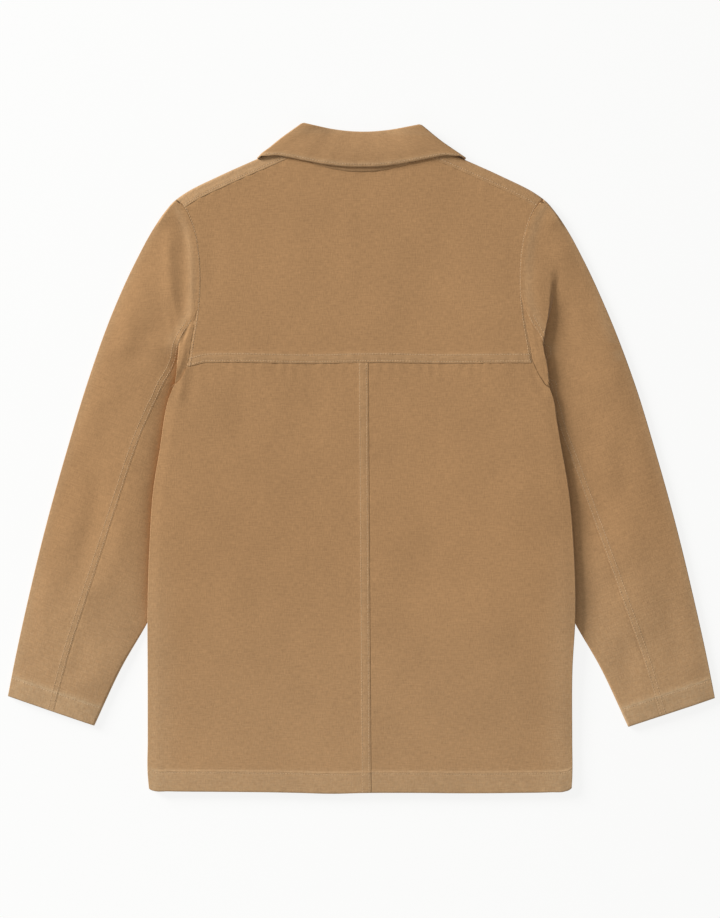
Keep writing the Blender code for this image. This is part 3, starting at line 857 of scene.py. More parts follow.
def shared(name, make, *colours):
    """The material of this name, made the first time it is asked for."""
    return bpy.data.materials.get(name) or make(name, *colours)


def canvas():
    """The cloth's material."""
    return shared("brushed canvas", brushed_canvas, colour("canvas"), colour("rubbed"))


def thread():
    """The thread's material."""
    return shared("spun thread", spun_thread, colour("thread"))


# Pieces

# How far the cloth is turned up, how wide the lapped seams' bands are, and how far in the stitches run.
HEM_TURN = 24.0
CUFF_TURN = 23.0
TURN_ROW = 2.0  # from the turning's upper edge
BAND = 11.5  # at the yoke and the centre back
BAND_ROWS = (2.6, 10.2)
SLEEVE_BAND = 8.0
SLEEVE_ROWS = (1.8, 7.0)
STRIP_BAND = 6.0
STRIP_ROWS = (3.3,)
ARMHOLE_ROWS = (3.4,)
COLLAR_ROW = 3.4
STRIP = 14.0  # how far the fronts come over the shoulder's fold
STRIP_RUN_ON = 2.0  # how far they run on under the sleeve there
NEAR_SEAM = ((0.0, 0.6), (3.0, 0.6), (9.0, 1.5), (14.0, 0.8))  # cells across a band, from the lap's end on


def back_seam_x(y):
    """The centre-back seam's lapped edge, a little to one side of the middle."""
    return 9.7 + 3.4 * (YOKE_SEAM_Y - y) / (YOKE_SEAM_Y - HEM_Y)


def hem_rise(x, y):
    """How far the hem lies above its lowest line: the curve through HEM_LINE, which swings up to both
    rounded corners, and which fades out from 12 to 90 mm up."""
    return through(HEM_LINE["x"], HEM_LINE["rise"], x) * (1 - ease(y - HEM_Y, 12, 90))


def seam_bend(x, y):
    """How far the yoke seam bends off its straight line: uneven waves and a dip at the left armhole, under
    a bell of the distance from the seam."""
    near = bell(y - YOKE_SEAM_Y, 34)
    dip = 5.0 * ease(-x, 176, 204) * (1 - ease(-x, 205, 213))
    return near * (0.55 * waves(x, 0 * x, 150, 81) - dip)


def bent(grid):
    """A body panel's grid with its points moved along Y by the yoke seam's bend."""
    x, y = grid[..., 0], grid[..., 1]
    return stack(x, y + seam_bend(x, y) + hem_rise(x, y), grid[..., 2])


def make_back(side):
    """Half of the back, in level rows from the hem to the yoke. A row runs from the centre seam to the
    folded side, half round an ellipse there, and back under it to the side seam."""
    hand = hand_of(side)
    y = spread(HEM_Y, (HEM_Y + 3, 0.7), (HEM_Y + HEM_TURN - 4, 2.6), (HEM_Y + HEM_TURN + 3, 0.8))
    high = spread(y[-1], (UNDERARM_Y + 2.4, 3.0), (YOKE_SEAM_Y - 8, 3.0), (YOKE_SEAM_Y + LAP, 0.8))
    y = np.concatenate([y, high[1:]])
    width = 236.0  # which the spacing is made for
    lap = 0.0 if side < 0 else LAP
    share = spread(-lap, *NEAR_SEAM[lap == 0 :], (width - 12, 3.0), (width - 0.4, 1.5), (width, 0.4)) / width
    rounding = 0.4 + 0.15 * (1 - ease(y, UNDERARM_Y - 40, UNDERARM_Y))
    end = half_width(y, side) - np.where(y > UNDERARM_Y + 0.5, -0.15, rounding)
    start = side * back_seam_x(y)
    across = start[:, None] + (end - start)[:, None] * share[None, :]
    rows = y[:, None]
    from_seam = across - start[:, None]
    from_side = end[:, None] - across
    side_drop = 0.9 if side < 0 else 0.6
    z = over_body(side * across, rows)
    z = z - side_drop * (1 - ease(from_side, -2, 13)) * (1 - ease(rows, 60, UNDERARM_Y))
    z = z + turned_up(rows - HEM_Y, side * across, HEM_TURN, 0.55, 0.5, 21)
    if side < 0:
        z = z + 0.7 * felled(from_seam, BAND * 0.9, BAND_ROWS)
    else:
        z = z - 0.6 * sunk(from_seam)
    z = z + pucker(from_seam, rows + 0 * across, 12, 31)
    from_yoke = YOKE_SEAM_Y - rows
    z = z - sunk(from_yoke) + pucker(from_yoke, across + 0 * rows, 16, 33)
    top = stack(side * across, rows, z)
    angle = turn(9)[None, :]
    base = under_body(end, y)[:, None]
    half_high = (z[:, -1:] - base) / 2
    fold_x = end[:, None] + rounding[:, None] * np.sin(angle)
    fold = stack(side * fold_x, rows, base + half_high * (1 + np.cos(angle)))
    under_x = end[:, None] - np.linspace(0, 12.8, 5)[None, 1:] + rounding[:, None]
    under = stack(side * under_x, rows, under_body(under_x, rows))
    grid = np.concatenate([top, fold, under], axis=1)
    keep = all_cells(grid)
    keep[y[1:] > UNDERARM_Y + 5.5, top.shape[1] - 1 :] = False
    keep[y[1:] > UNDERARM_Y + 2.6, top.shape[1] + fold.shape[1] - 1 :] = False
    run = run_across(grid)
    weave = np.stack([side * (run + start[:, None]), np.broadcast_to(rows, run.shape)], axis=-1)
    rub = 0.2 * (1 - ease(rows - HEM_Y, HEM_TURN, HEM_TURN + 4)) + 0 * run
    if side < 0:
        rub = np.maximum(rub, 0.11 * (1 - ease(run, BAND - 2, BAND + 2)))
    made = cloth(f"back_{hand}", bent(grid), weave, rub, keep=keep, flip=side < 0)
    top = bent(top)
    lines = [inset(top, row, "first") for row in BAND_ROWS] if side < 0 else []
    lines.append(inset(top, HEM_TURN - TURN_ROW, "low"))
    return made, lines


def shoulder_fold(x):
    """The shoulder's fold: its Y at each X, and the unit vector that points out of it, square to its
    slope."""
    y = np.linspace(OUTLINE["y"][0], 290.0, 110)
    xs = outline(y)
    slope = np.gradient(xs, y)
    length = np.hypot(1, slope)
    return np.interp(x, xs, y), np.interp(x, xs, 1 / length), np.interp(x, xs, -slope / length)


def yoke_top(x):
    """The yoke's upper edge: the back neckline, then the forward shoulder seam, which lies a strip's width
    less a lap in from the shoulder's fold."""
    fold_x = np.linspace(78.0, 213.0, 100)
    fold_y, out_x, out_y = shoulder_fold(fold_x)
    seam_x, seam_y = fold_x - (STRIP - LAP) * out_x, fold_y - (STRIP - LAP) * out_y
    neck = through(NECKLINE["x"], NECKLINE["back_y"], x)
    return np.where(x < seam_x[0], np.minimum(neck + LAP, seam_y[0]), np.interp(x, seam_x, seam_y))


def make_yoke():
    """The back yoke in one piece, from armhole to armhole, lapped over the backs in a felled band. A row's
    points are shares of the armhole's width, and a column runs up from the yoke seam to its own point on
    the upper edge."""
    low_y, end_y = YOKE_SEAM_Y, 288.0  # at the armholes
    near = spread(0.0, (3.0, 0.6), (10.0, 1.4), (196.0, 3.0))
    half = (near[-1] - near) / near[-1]
    across = np.concatenate([-half, half[::-1][1:]])
    tall = end_y - low_y
    rise = (spread(0.0, *NEAR_SEAM[1:], (tall - 8, 3.0), (tall, 1.0)) / tall)[:, None]
    edge_y = low_y + (end_y - low_y) * rise
    x = across[None, :] * (armhole(edge_y) + 0.15)
    high = (yoke_top(np.abs(x[-1])) - low_y)[None, :]
    y = low_y + high * rise
    from_low = y - low_y
    from_armhole = armhole(y) - np.abs(x)
    from_top = high * (1 - rise)
    z = over_body(x, y) + felled(from_low, BAND, BAND_ROWS) * ease(from_armhole, -1, 4)
    z = z + pucker(from_low, x + 0 * y, 14, 41)
    z = z - 0.3 * bell(from_armhole, 2.0) + 0.5 * pucker(from_armhole, y + 0 * x, 10, 43)
    z = z - 0.6 * sunk(from_top - LAP) + pucker(from_top, x + 0 * y, 8, 45)
    grid = bent(stack(x, y, z))
    rub = np.maximum(0.15 * (1 - ease(from_low, BAND - 1, BAND + 1.5)), 0.15 * bell(from_armhole, 3))
    made = cloth("back_yoke", grid, grid[..., :2], rub)
    lines = [inset(grid, row, "low") for row in BAND_ROWS]
    lines += [inset(grid, row, side) for side in ("first", "last") for row in ARMHOLE_ROWS]
    return made, lines


def over_shoulder(side, x, y, base, out, radius):
    """A front's cloth beyond its upper edge: the arc round the shoulder's fold, half an ellipse, and the
    strip behind it, down to the yoke. Each has a row of points for each step away from the edge."""
    out_x, out_y = out
    end = STRIP - radius
    reach = spread(0.0, (end - 5, 1.2), (end, 0.6))[1:, None]
    strip_y = y - reach * out_y
    strip_x = np.minimum(x - reach * out_x, armhole(strip_y) + STRIP_RUN_ON)
    from_yoke = end - reach
    tilt = 1.3 if side < 0 else 0.5  # how much lower the strip starts, at the fold
    z = over_body(side * strip_x, strip_y) + 0.6 * felled(from_yoke, STRIP_BAND, STRIP_ROWS)
    z = z - tilt * (1 - reach / end) - 0.7 * ease(strip_x - armhole(strip_y), 0, 1)
    z = z + pucker(from_yoke + 0 * strip_x, strip_x, 6, 91)
    angle = turn(9)[:, None]
    half_high = (over_body(side * x, y) - tilt - base) / 2
    arc_y = y + radius * out_y * np.sin(angle)
    arc_x = np.minimum(x + radius * out_x * np.sin(angle), armhole(arc_y) + STRIP_RUN_ON)
    arc = stack(side * arc_x, arc_y, base + half_high * (1 - np.cos(angle)))
    return arc, stack(side * strip_x, strip_y, z)


def make_front(side):
    """One front, in rows from the hem up: across from its lapped edge to the side seam, and above the
    underarm to the armhole, with each column ending on the neckline or the shoulder. Then it goes over the
    shoulder."""
    hand = hand_of(side)
    low = spread(HEM_Y, (HEM_Y + 30, 3.0), (UNDERARM_Y, 6.0))
    seam = body_side(low, side) - SIDE_SEAM_IN
    share = spread(0.0, (45.0, 3.0), (75.0, 6.0), (220.0, 3.5))
    share = share / share[-1]
    low_x = -FRONT_LAP + (seam + FRONT_LAP)[:, None] * share[None, :]
    low_y = np.broadcast_to(low[:, None], low_x.shape)
    end_y = 296.6  # at the armhole
    edge_y = spread(UNDERARM_Y, (UNDERARM_Y + 0.6, 0.6), (end_y, 4.0))[:, None]
    rise = (edge_y - UNDERARM_Y) / (end_y - UNDERARM_Y)
    edge_x = np.where(rise == 0, seam[-1], front_armhole(edge_y) - 0.1)
    high_x = -FRONT_LAP + (edge_x + FRONT_LAP) * share[None, :]
    radius = size_of("body_loft") / 2
    top_x = high_x[-1]
    fold_y, out_x, out_y = shoulder_fold(top_x)
    wraps = top_x > 79.0  # beyond the neck the front comes over the shoulder
    top_y = np.where(wraps, fold_y - radius / out_y, through(NECKLINE["x"], NECKLINE["front_y"], top_x))
    high_y = UNDERARM_Y + (top_y[None, :] - UNDERARM_Y) * rise
    x = np.concatenate([low_x[:-1], high_x])
    y = np.concatenate([low_y[:-1], high_y])
    lapped = 0.0 if side < 0 else size_of("wall") + 0.3  # the right front lies on the left one
    z = under_body(x, y) + lapped * (1 - ease(x, FRONT_LAP + 2, FRONT_LAP + 30))
    flat = stack(side * x, y, z)
    arc, strip = over_shoulder(side, top_x, top_y, z[-1], (out_x, out_y), radius)
    grid = np.concatenate([flat, arc, strip])
    grid[..., 1] += hem_rise(grid[..., 0], grid[..., 1])
    keep = all_cells(grid)
    keep[flat.shape[0] - 1 :, ~wraps[:-1]] = False
    rise_run = run_across(grid.transpose(1, 0, 2)).T
    weave = np.stack([side * np.broadcast_to(x[-1], rise_run.shape), rise_run], axis=-1)
    weave[: len(x), :, 0] = side * x
    weave[..., 1] += HEM_Y
    rub = np.zeros(grid.shape[:2])
    # Both shoulder strips are rubbed pale; the left one's extra paleness over the right is a painted
    # highlight, as it faces the light.
    rub[flat.shape[0] :] = 0.28 if side < 0 else 0.1
    made = cloth(f"front_{hand}", grid, weave, rub, keep=keep, flip=side > 0)
    shown = strip[:, wraps]
    return made, [inset(shown, row, "high") for row in STRIP_ROWS]


def stations(first, side):
    """Stations along the sleeve: the outer edge, the inner end of each layer, and the seams' shares, all
    read between the rows of the sleeve's tables. from_cuff is the distance of a station's middle from the
    cuff's, along the sleeve."""
    last = len(SLEEVE_HEAD["outer_y"]) - 1
    head = np.linspace(first, last, int((last - first) * 9) + 1)
    made = between_rows(SLEEVE_HEAD, head)
    made["inner_x"] = armhole(made["inner_y"])
    made["under_x"] = front_armhole(made["inner_y"])
    arm = np.concatenate([np.linspace(0, 8.66, 140)[1:], np.linspace(8.66, 9.0, 22)[1:]])  # finer at the cuff
    lower = between_rows(SLEEVE_ARM, arm)
    lower["under_x"] = lower["inner_x"]
    joined = {key: np.concatenate([made[key], lower[key]]) for key in made}
    joined["closed"] = np.arange(len(joined["outer_y"])) >= len(head) - 1
    joined["outer_x"] = outline(joined["outer_y"])
    joined["back_seam"] = joined[hand_of(side) + "_seam"][:, None]
    middle = np.stack([joined["outer_" + axis] + joined["inner_" + axis] for axis in "xy"], axis=1) / 2
    joined["from_cuff"] = ((middle - middle[-1]) @ np.array(SLEEVE_WAY))[:, None]
    return joined


def sleeve_width(at, inner="inner_x"):
    """Each station's width, from its outer edge to a layer's inner end."""
    return np.hypot(at[inner] - at["outer_x"], at["inner_y"] - at["outer_y"])[:, None]


def sleeve_run(at, distance, inner="inner_x"):
    """Points across each station at distances from its outer edge, on the line to a layer's inner end."""
    way_x, way_y = at[inner] - at["outer_x"], at["inner_y"] - at["outer_y"]
    x = at["outer_x"][:, None] + way_x[:, None] * distance / sleeve_width(at, inner)
    y = at["outer_y"][:, None] + way_y[:, None] * distance / sleeve_width(at, inner)
    return x, y


def at_body(at):
    """1 where a sleeve's edge lies over the body's at the armhole, and 0 near the underarm, where it runs
    under."""
    return ease(at["inner_y"], 92, 106)[:, None]


def sleeve_ends(at):
    """The fold's radius at the stations' inner ends, and how far both layers stop short there for it. At
    the armhole there is no fold, and the upper layer runs on past its end: a little over the body's edge,
    or by a whole lap under it."""
    radius = sleeve_inner_thickness(at["inner_y"])[:, None] / 2
    closed = at["closed"][:, None]
    run_on = OVER_EDGE + (LAP - OVER_EDGE) * (1 - at_body(at))
    return radius, np.where(closed, radius, -run_on), np.where(closed, radius, 0.1)


def crevice_at(at, side):
    """How far from a station's outer edge it crosses the crevice: the crossing's own Y gives the crevice's
    X, which gives a better crossing, five times over."""
    share = np.full(len(at["outer_x"]), 0.9)
    for _ in range(5):
        y = at["outer_y"] + (at["inner_y"] - at["outer_y"]) * share
        share = (at["outer_x"] - crevice(y, side)) / (at["outer_x"] - at["inner_x"])
    return share[:, None] * sleeve_width(at)


def two_spans(start, middle, end, first, second):
    """Distances from start through middle to end, spaced like the two given lists of places, each
    stretched to its own span."""
    first, second = first / first[-1], second / second[-1]
    inner, outer = start + (middle - start) * first[None, :-1], middle + (end - middle) * second[None, :]
    return np.concatenate([inner, outer], axis=1)


def cuff_rub(from_cuff):
    """How pale the cuff is rubbed: a little over its whole turning, and more in a bell at the turning's
    stitched edge."""
    return 0.2 * (1 - ease(from_cuff, CUFF_TURN, CUFF_TURN + 4)) + 0.3 * bell(from_cuff - CUFF_TURN + 1, 1.3)


def sleeve_face(at, side, distance):
    """The upper layer of a sleeve at distances from its outer edge: raised beside the armhole's seam, and
    sunk where it runs under the body."""
    x, y = sleeve_run(at, distance)
    from_armhole = sleeve_width(at) - distance
    z = over_sleeve(side * x, y, distance, from_armhole)
    head = 1 - ease(np.arange(len(x))[:, None], 44, 70)  # by stations, counted from the shoulder
    over = at_body(at)
    ridge = head * 0.15 * bell(from_armhole - 7.5, 4.0) + 0.32 * over * (1 - ease(from_armhole, 5, 10))
    ridge = ridge - 0.3 * (1 - over) * sunk(from_armhole)
    cuff = turned_up(at["from_cuff"], side * x, CUFF_TURN, 0.35, 0.4, 51)
    return x, y, z + ~at["closed"][:, None] * ridge + cuff


def sleeve_grid(at, side, face, fold, angle, floor):
    """A sleeve piece's points, its distances along each station, and each point's place on the flat cloth.
    The piece is its upper face, then a half ellipse round the fold, at these distances and angles, then a
    layer on the floor."""
    fold_x, fold_y = sleeve_run(at, fold)
    fold_z = face[2][:, -1:] / 2 * (1 + np.cos(angle))
    layers = stack(*face), stack(fold_x, fold_y, fold_z), stack(*sleeve_run(at, floor, "under_x"), 0.0)
    grid = settled(np.concatenate(layers, axis=1) * [side, 1, 1], at, side)
    run = run_across(grid)
    return grid, run, np.stack([side * run, np.broadcast_to(at["from_cuff"], run.shape)], axis=-1)


def settled(grid, at, side):
    """A sleeve's points as the sleeve lies: a little to one side, and drawn out along the sleeve over its
    last 150 mm to its own length at the cuff."""
    drawn = SLEEVE_DRAWN[0] if side < 0 else SLEEVE_DRAWN[1] - 0.9 * (1 - ease(grid[..., 0], 305, 400))
    longer = drawn * (1 - ease(at["from_cuff"], 0, 150))
    x = grid[..., 0] + SLEEVES_SHIFT * (1 - ease(grid[..., 1], 60, 200)) - SLEEVE_WAY[0] * side * longer
    return stack(x, grid[..., 1] - SLEEVE_WAY[1] * longer, grid[..., 2])


def make_top_sleeve(side):
    """The top sleeve: from the back seam over the crown, round the outer fold and back to the front seam."""
    hand = hand_of(side)
    at = stations(0.0, side)
    upper, lower = sleeve_width(at), sleeve_width(at, "under_x")
    radius = np.minimum(size_of("sleeve_edge") / 7, upper / 3)
    seamed = ease(-at["back_seam"], -0.999, -0.975)
    back_end = upper * at["back_seam"] + LAP * (1 - seamed)
    front_end = (lower - sleeve_ends(at)[2]) * at["front_seam"][:, None] - SEAM / 2
    middle = np.clip(crevice_at(at, side), 0.7 * radius + 0.3 * back_end, 0.04 * radius + 0.96 * back_end)
    first = spread(0.0, (3.0, 0.6), (24.0, 1.8), (28.0, 0.9), (30.0, 0.25))
    second = spread(0.0, (2.0, 0.25), (8.0, 1.0), (40.0, 2.2), (90.0, 3.0), (99.6, 1.6), (100.0, 0.4))
    distance = two_spans(back_end, middle, radius, first, second)
    from_seam = back_end - distance
    x, y, z = sleeve_face(at, side, distance)
    band = 0.4 * felled(from_seam, SLEEVE_BAND, SLEEVE_ROWS)
    z = z + seamed * (band + pucker(from_seam, at["from_cuff"] + 0 * x, 9, 61))
    angle = turn(9)[None, :-1]
    floor = radius + (front_end - radius) * np.linspace(0, 1, 22)
    grid, run, weave = sleeve_grid(at, side, (x, y, z), radius * (1 - np.sin(angle)), angle, floor)
    head = 1 - ease(np.arange(len(run))[:, None], 50, 66)  # by stations, counted from the shoulder
    rub = seamed * 0.07 * (1 - ease(run, SLEEVE_BAND - 3, SLEEVE_BAND + 4))
    at_fold, at_head = 0.2 * bell(run - back_end - 2, 8), head * 0.16 * bell(run - 9, 6)
    for rubbed in (cuff_rub(at["from_cuff"]), at_head, at_fold):
        rub = np.maximum(rub, rubbed)
    made = cloth(f"top_sleeve_{hand}", grid, weave, rub, flip=side > 0)
    crown = grid[:, : z.shape[1]]
    start = int(np.argmax(at["back_seam"] < 0.975))
    lines = [inset(crown[start:], row, "first") for row in SLEEVE_ROWS]
    return made, [*lines, inset(crown[::-1], CUFF_TURN - TURN_ROW, "low")]


def make_under_sleeve(side):
    """The under sleeve: from the back seam, under the body, round the inner fold to the front seam."""
    hand = hand_of(side)
    at = stations(UNDER_SLEEVE_START, side)
    upper = sleeve_width(at)
    radius, back_trim, front_trim = sleeve_ends(at)
    seam, end = upper * at["back_seam"], upper - back_trim
    under_end = sleeve_width(at, "under_x") - front_trim
    front_start = under_end * at["front_seam"][:, None] + SEAM / 2
    middle = np.clip(crevice_at(at, side), 0.8 * seam + 0.2 * end, 0.2 * seam + 0.8 * end)
    first = spread(0.0, (6.0, 0.9), (22.0, 1.9), (27.0, 0.9), (30.0, 0.25))
    second = spread(0.0, (2.0, 0.25), (8.0, 1.0), (34.0, 2.2))
    distance = two_spans(seam - LAP, middle, end, first, second)
    x, y, z = sleeve_face(at, side, distance)
    z = z - sunk(distance - seam) + pucker(distance - seam, at["from_cuff"] + 0 * x, 9, 61)
    angle = turn(7)[None, :-1]
    floor = front_start + (under_end - front_start) * np.linspace(1, 0, 8)
    grid, run, weave = sleeve_grid(at, side, (x, y, z), upper - radius * (1 - np.sin(angle)), angle, floor)
    keep = all_cells(grid)
    shown = z.shape[1]
    keep[~at["closed"][:-1], shown - 1 : shown + angle.size] = False
    rub = cuff_rub(at["from_cuff"]) + 0 * run
    made = cloth(f"under_sleeve_{hand}", grid, weave, rub, keep=keep, flip=side < 0)
    return made, [inset(grid[::-1, :shown], CUFF_TURN - TURN_ROW, "low")]


def collar_rulings(count):
    """Rulings round half the collar, from its point over the turn at the side of the neck to the middle
    behind: their free ends, their roll ends, how far each has still to turn over, and the way out of the
    turn.

    There are count of them before the turn, and three times as many behind. On top of the turn they are
    drawn out at the roll and back at the free edge, so that both edges run on smoothly into the corner."""
    keys = ("free_x", "free_y", "roll_x", "roll_y")
    turned = int(np.argmax(COLLAR["top"] == 0.5))
    rows = np.stack([COLLAR[key] for key in keys], axis=1)
    number = np.arange(len(rows))
    before = np.linspace(0, turned - 0.35, count)
    after = np.linspace(turned + 1, len(rows) - 1, 3 * count)
    point, back = rows[: turned + 1].T, rows[turned:].T
    front = np.stack([np.interp(before, number[: turned + 1], column) for column in point], axis=1)
    behind = np.stack([through(number[turned:], column, after) for column in back], axis=1)
    line = rows[turned, 2:] - rows[turned, :2]
    way = line / np.hypot(*line)
    outwards = np.array([way[1], -way[0]])
    angle = np.linspace(np.pi, 0, 17)
    drawn_in = 1.8 * (1 - np.sin(angle))
    on_top = drawn_in * (angle < np.pi / 2)
    fold = rows[turned][None, :] - np.concatenate([outwards, outwards])[None, :] * drawn_in[:, None]
    fold = fold + np.concatenate([2.6 * way, 0.98 * way])[None, :] * on_top[:, None]
    whole = np.concatenate([front, fold, behind])
    angles = np.concatenate([np.full(len(front), np.pi), angle, np.zeros(len(behind))])
    return whole[:, :2], whole[:, 2:], angles, outwards


def mirrored(half):
    """The whole strip from its half at +X, whose last row is on the middle."""
    return np.concatenate([half, half[-2::-1] * np.array([-1, 1, 1])])


def leaf_drop(roll_x, share):
    """How far the leaf sinks below the stack's height, at a share of the way from its free edge to its roll:
    2.3 mm at its free edge, and behind the neck 4.2 mm at its roll, as the 1.5th power of the share."""
    behind = ease(1 - np.abs(roll_x) / 70.0, 0, 0.6)
    return behind * 4.2 * share**1.5 + 2.3 * (1 - share)


def collar_lies(grid):
    """The collar as it lies: a little to the wearer's right, its roll lower there, and its left corner
    blunter."""
    x, y = grid[..., 0], grid[..., 1]
    rolled = ease(y, 345, 375)
    blunt = 1.6 * ease(-x, 60, 100) * bell(y - 351.5, 4)
    return stack(x + COLLAR_SHIFT - 1.5 * bell(y - 365, 13) - blunt, y - 0.013 * x * rolled, grid[..., 2])


def make_collar():
    """The collar's leaf, of two plies: straight rulings from its free edge to its roll, from point to
    point round the neck, with half a circle at its top where it rolls over. Also gives the roll behind the
    neck, for the stand."""
    stack_high = size_of("collar_stack")
    free, roll, angles, outwards = collar_rulings(14)
    behind = angles == 0
    on_top = behind[:, None]
    from_edge = spread(0.0, (2.0, 0.5), (6.0, 1.0), (42.0, 2.6))[None, :]
    share = from_edge / 42.0
    x = free[:, :1] + (roll - free)[:, :1] * share
    y = free[:, 1:] + (roll - free)[:, 1:] * share
    turned = angles[:, None]
    sink = leaf_drop(roll[:, :1], share)
    swell = 1.2 * np.sin(np.pi * share) * on_top
    wobble = (0.12 * waves(x, y, 60, 71) + 0.1 * waves(x, y, 22, 72)) * on_top
    near_turn = ease(np.arange(len(free))[:, None], len(free) - 44, len(free) - 32)  # by rulings
    top = stack_high - sink + swell * near_turn + wobble * near_turn
    edge = 0.35 * (1 - ease(from_edge, 4.0, 6.0)) - 0.6 * bell(from_edge, 0.8)
    edge = edge - 0.22 * bell(from_edge - COLLAR_ROW, 0.8)
    z = top * (1 + np.cos(turned)) / 2 + edge * on_top
    face = stack(x, y, z)
    rolled = turn(8)[None, :]
    way = unit(roll - free)
    radius = 2.2  # of the roll at the leaf's top
    inwards = np.concatenate([-outwards[None, :] * np.sin(turned), -np.cos(turned)], axis=1)
    wrap = face[:, -1:, :] + radius * (1 - np.cos(rolled))[..., None] * inwards[:, None, :]
    wrap[..., :2] += radius * np.sin(rolled)[..., None] * way[:, None, :]
    half = np.concatenate([face, wrap], axis=1)
    grid = collar_lies(mirrored(half))
    run = run_across(grid)
    along = np.cumsum(np.concatenate([[0], np.linalg.norm(np.diff(grid[:, 10], axis=0), axis=1)]))[:, None]
    weave = np.stack([np.broadcast_to(along, run.shape), run], axis=-1)
    rub = 0.06 + 0.2 * (1 - ease(run, 4, 8)) + 0.12 * bell(run - 45, 5)
    leaf = cloth("collar_leaf", grid, weave, rub, "leaf_wall")
    face_behind = collar_lies(mirrored(face[behind]))
    return leaf, [inset(face_behind, COLLAR_ROW, "first")], roll[behind]


def make_stand(roll):
    """The stand, behind the neck: straight lines from the neck seam up to the leaf's roll, which rise from
    the yoke to just under the leaf."""
    on_top = COLLAR["top"] == 1
    neck = {key: COLLAR[key][on_top] for key in ("neck_x", "neck_y")}
    neck = between_rows(neck, np.linspace(0, on_top.sum() - 1, len(roll)))
    neck_x, neck_y = (column[:, None] for column in neck.values())
    share = np.linspace(0.0, 0.93, 18)[None, :]
    x = neck_x + (roll[:, :1] - neck_x) * share
    y = neck_y + (roll[:, 1:] - neck_y) * share
    sink = leaf_drop(roll[:, :1], share)
    low = back_level(neck_x, neck_y) + 0.15
    under_leaf = size_of("collar_stack") - sink - size_of("leaf_wall") - 0.5
    z = low + (under_leaf - low) * ease(share, 0.0, 0.45)
    grid = mirrored(stack(x, y, np.minimum(z, under_leaf))) + [COLLAR_SHIFT, 0, 0]
    run = run_across(grid)
    weave = np.stack([grid[..., 0], run], axis=-1)
    return cloth("collar_stand", grid, weave, 0.1)


def circle(radius, count):
    """Points round a circle, from +X towards +Y."""
    angle = np.linspace(0, 2 * np.pi, count + 1)[:-1]
    return radius * np.stack([np.cos(angle), np.sin(angle)], axis=1)


def button_face():
    """The face between the rim and the four holes: its flat points, rim first and then hole by hole, and
    its triangles. It is the Delaunay triangulation of the points, without the triangles inside a hole."""
    middles = BUTTON_HOLE_AT * np.array([[x, y] for x in (-1, 1) for y in (-1, 1)])
    rings = [middle + circle(BUTTON_HOLE, HOLE_POINTS) for middle in middles]
    points = np.concatenate([circle(BUTTON["r"][0], RIM_POINTS), *rings])
    corner = np.arange(RIM_POINTS, len(points)).reshape(4, HOLE_POINTS)
    edges = np.stack([corner, np.roll(corner, -1, axis=1)], axis=-1).reshape(-1, 2).tolist()
    flat = [mathutils.Vector(point) for point in points.tolist()]
    triangles = mathutils.geometry.delaunay_2d_cdt(flat, edges, [], 0, 1e-6)[2]
    kept = []
    for triangle in triangles:
        centre = points[list(triangle)].mean(axis=0)
        if all(np.hypot(*(centre - middle)) > 0.97 * BUTTON_HOLE for middle in middles):
            kept.append(list(triangle)[::-1])
    return points, kept


def button():
    """One button, face down: the rim's profile from its table turned round the middle, the dished face,
    and four wells with flat floors."""
    ring = circle(1.0, RIM_POINTS)
    rim = BUTTON["r"][:, None, None] * ring
    rim = stack(rim[..., 0], rim[..., 1], BUTTON["z"][:, None]).reshape(-1, 3)
    index = np.arange(len(rim)).reshape(-1, RIM_POINTS)
    after = np.roll(index, -1, axis=1)
    faces = np.stack([index[:-1], index[1:], after[1:], after[:-1]], axis=-1).reshape(-1, 4).tolist()
    flat, triangles = button_face()
    face = stack(flat[:, 0], flat[:, 1], BUTTON["z"][0])
    faces += (len(rim) + np.array(triangles)).tolist()
    deep = face[RIM_POINTS:] + [0, 0, BUTTON_WELL]
    for edge in len(rim) + RIM_POINTS + np.arange(4 * HOLE_POINTS).reshape(4, HOLE_POINTS):
        low = edge + len(deep)
        faces += np.stack([edge, np.roll(edge, -1), np.roll(low, -1), low], axis=1).tolist()
        faces.append(low[::-1].tolist())
    return np.concatenate([rim, face, deep]), faces


def make_buttons():
    """The buttons as one mesh, and as another the thread that crosses over between each one's holes. A
    strand's height is the sixth power of its way from the middle: it runs flat over the face and dips into
    the holes."""
    one, faces = button()
    places = [[*(np.mean(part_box(name), axis=0)[:2] / MM), 0] for name in BUTTONS]
    points = np.concatenate([one + place for place in places])
    every = [[corner + i * len(one) for corner in corners] for i in range(len(places)) for corners in faces]
    horn = shared("horn polyester", horn_polyester, colour("horn"))
    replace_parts(add_mesh("front_buttons", points, every, horn), *BUTTONS)
    along = np.linspace(-1, 1, 9)
    ring = np.arange(6) * np.pi / 3
    strands, sides = [], []
    for place in places:
        for way, proud in ((1, 0.0), (-1, 0.28)):
            height = 0.5 - proud + (0.9 + proud) * along**6
            line = stack(BUTTON_HOLE_AT * along, way * BUTTON_HOLE_AT * along, height)
            across = np.array([-way, 1, 0]) / np.sqrt(2)
            way_out = np.cos(ring)[:, None] * across + np.sin(ring)[:, None] * np.array([0, 0, 1])
            bar = line[:, None] + 0.2 * way_out
            strands.append(bar.reshape(-1, 3) + place)
            sides.append(tube(np.arange(54).reshape(9, 6) + 54 * len(sides)))
    add_mesh("button_threads", np.concatenate(strands), np.concatenate(sides), thread())


# Operators


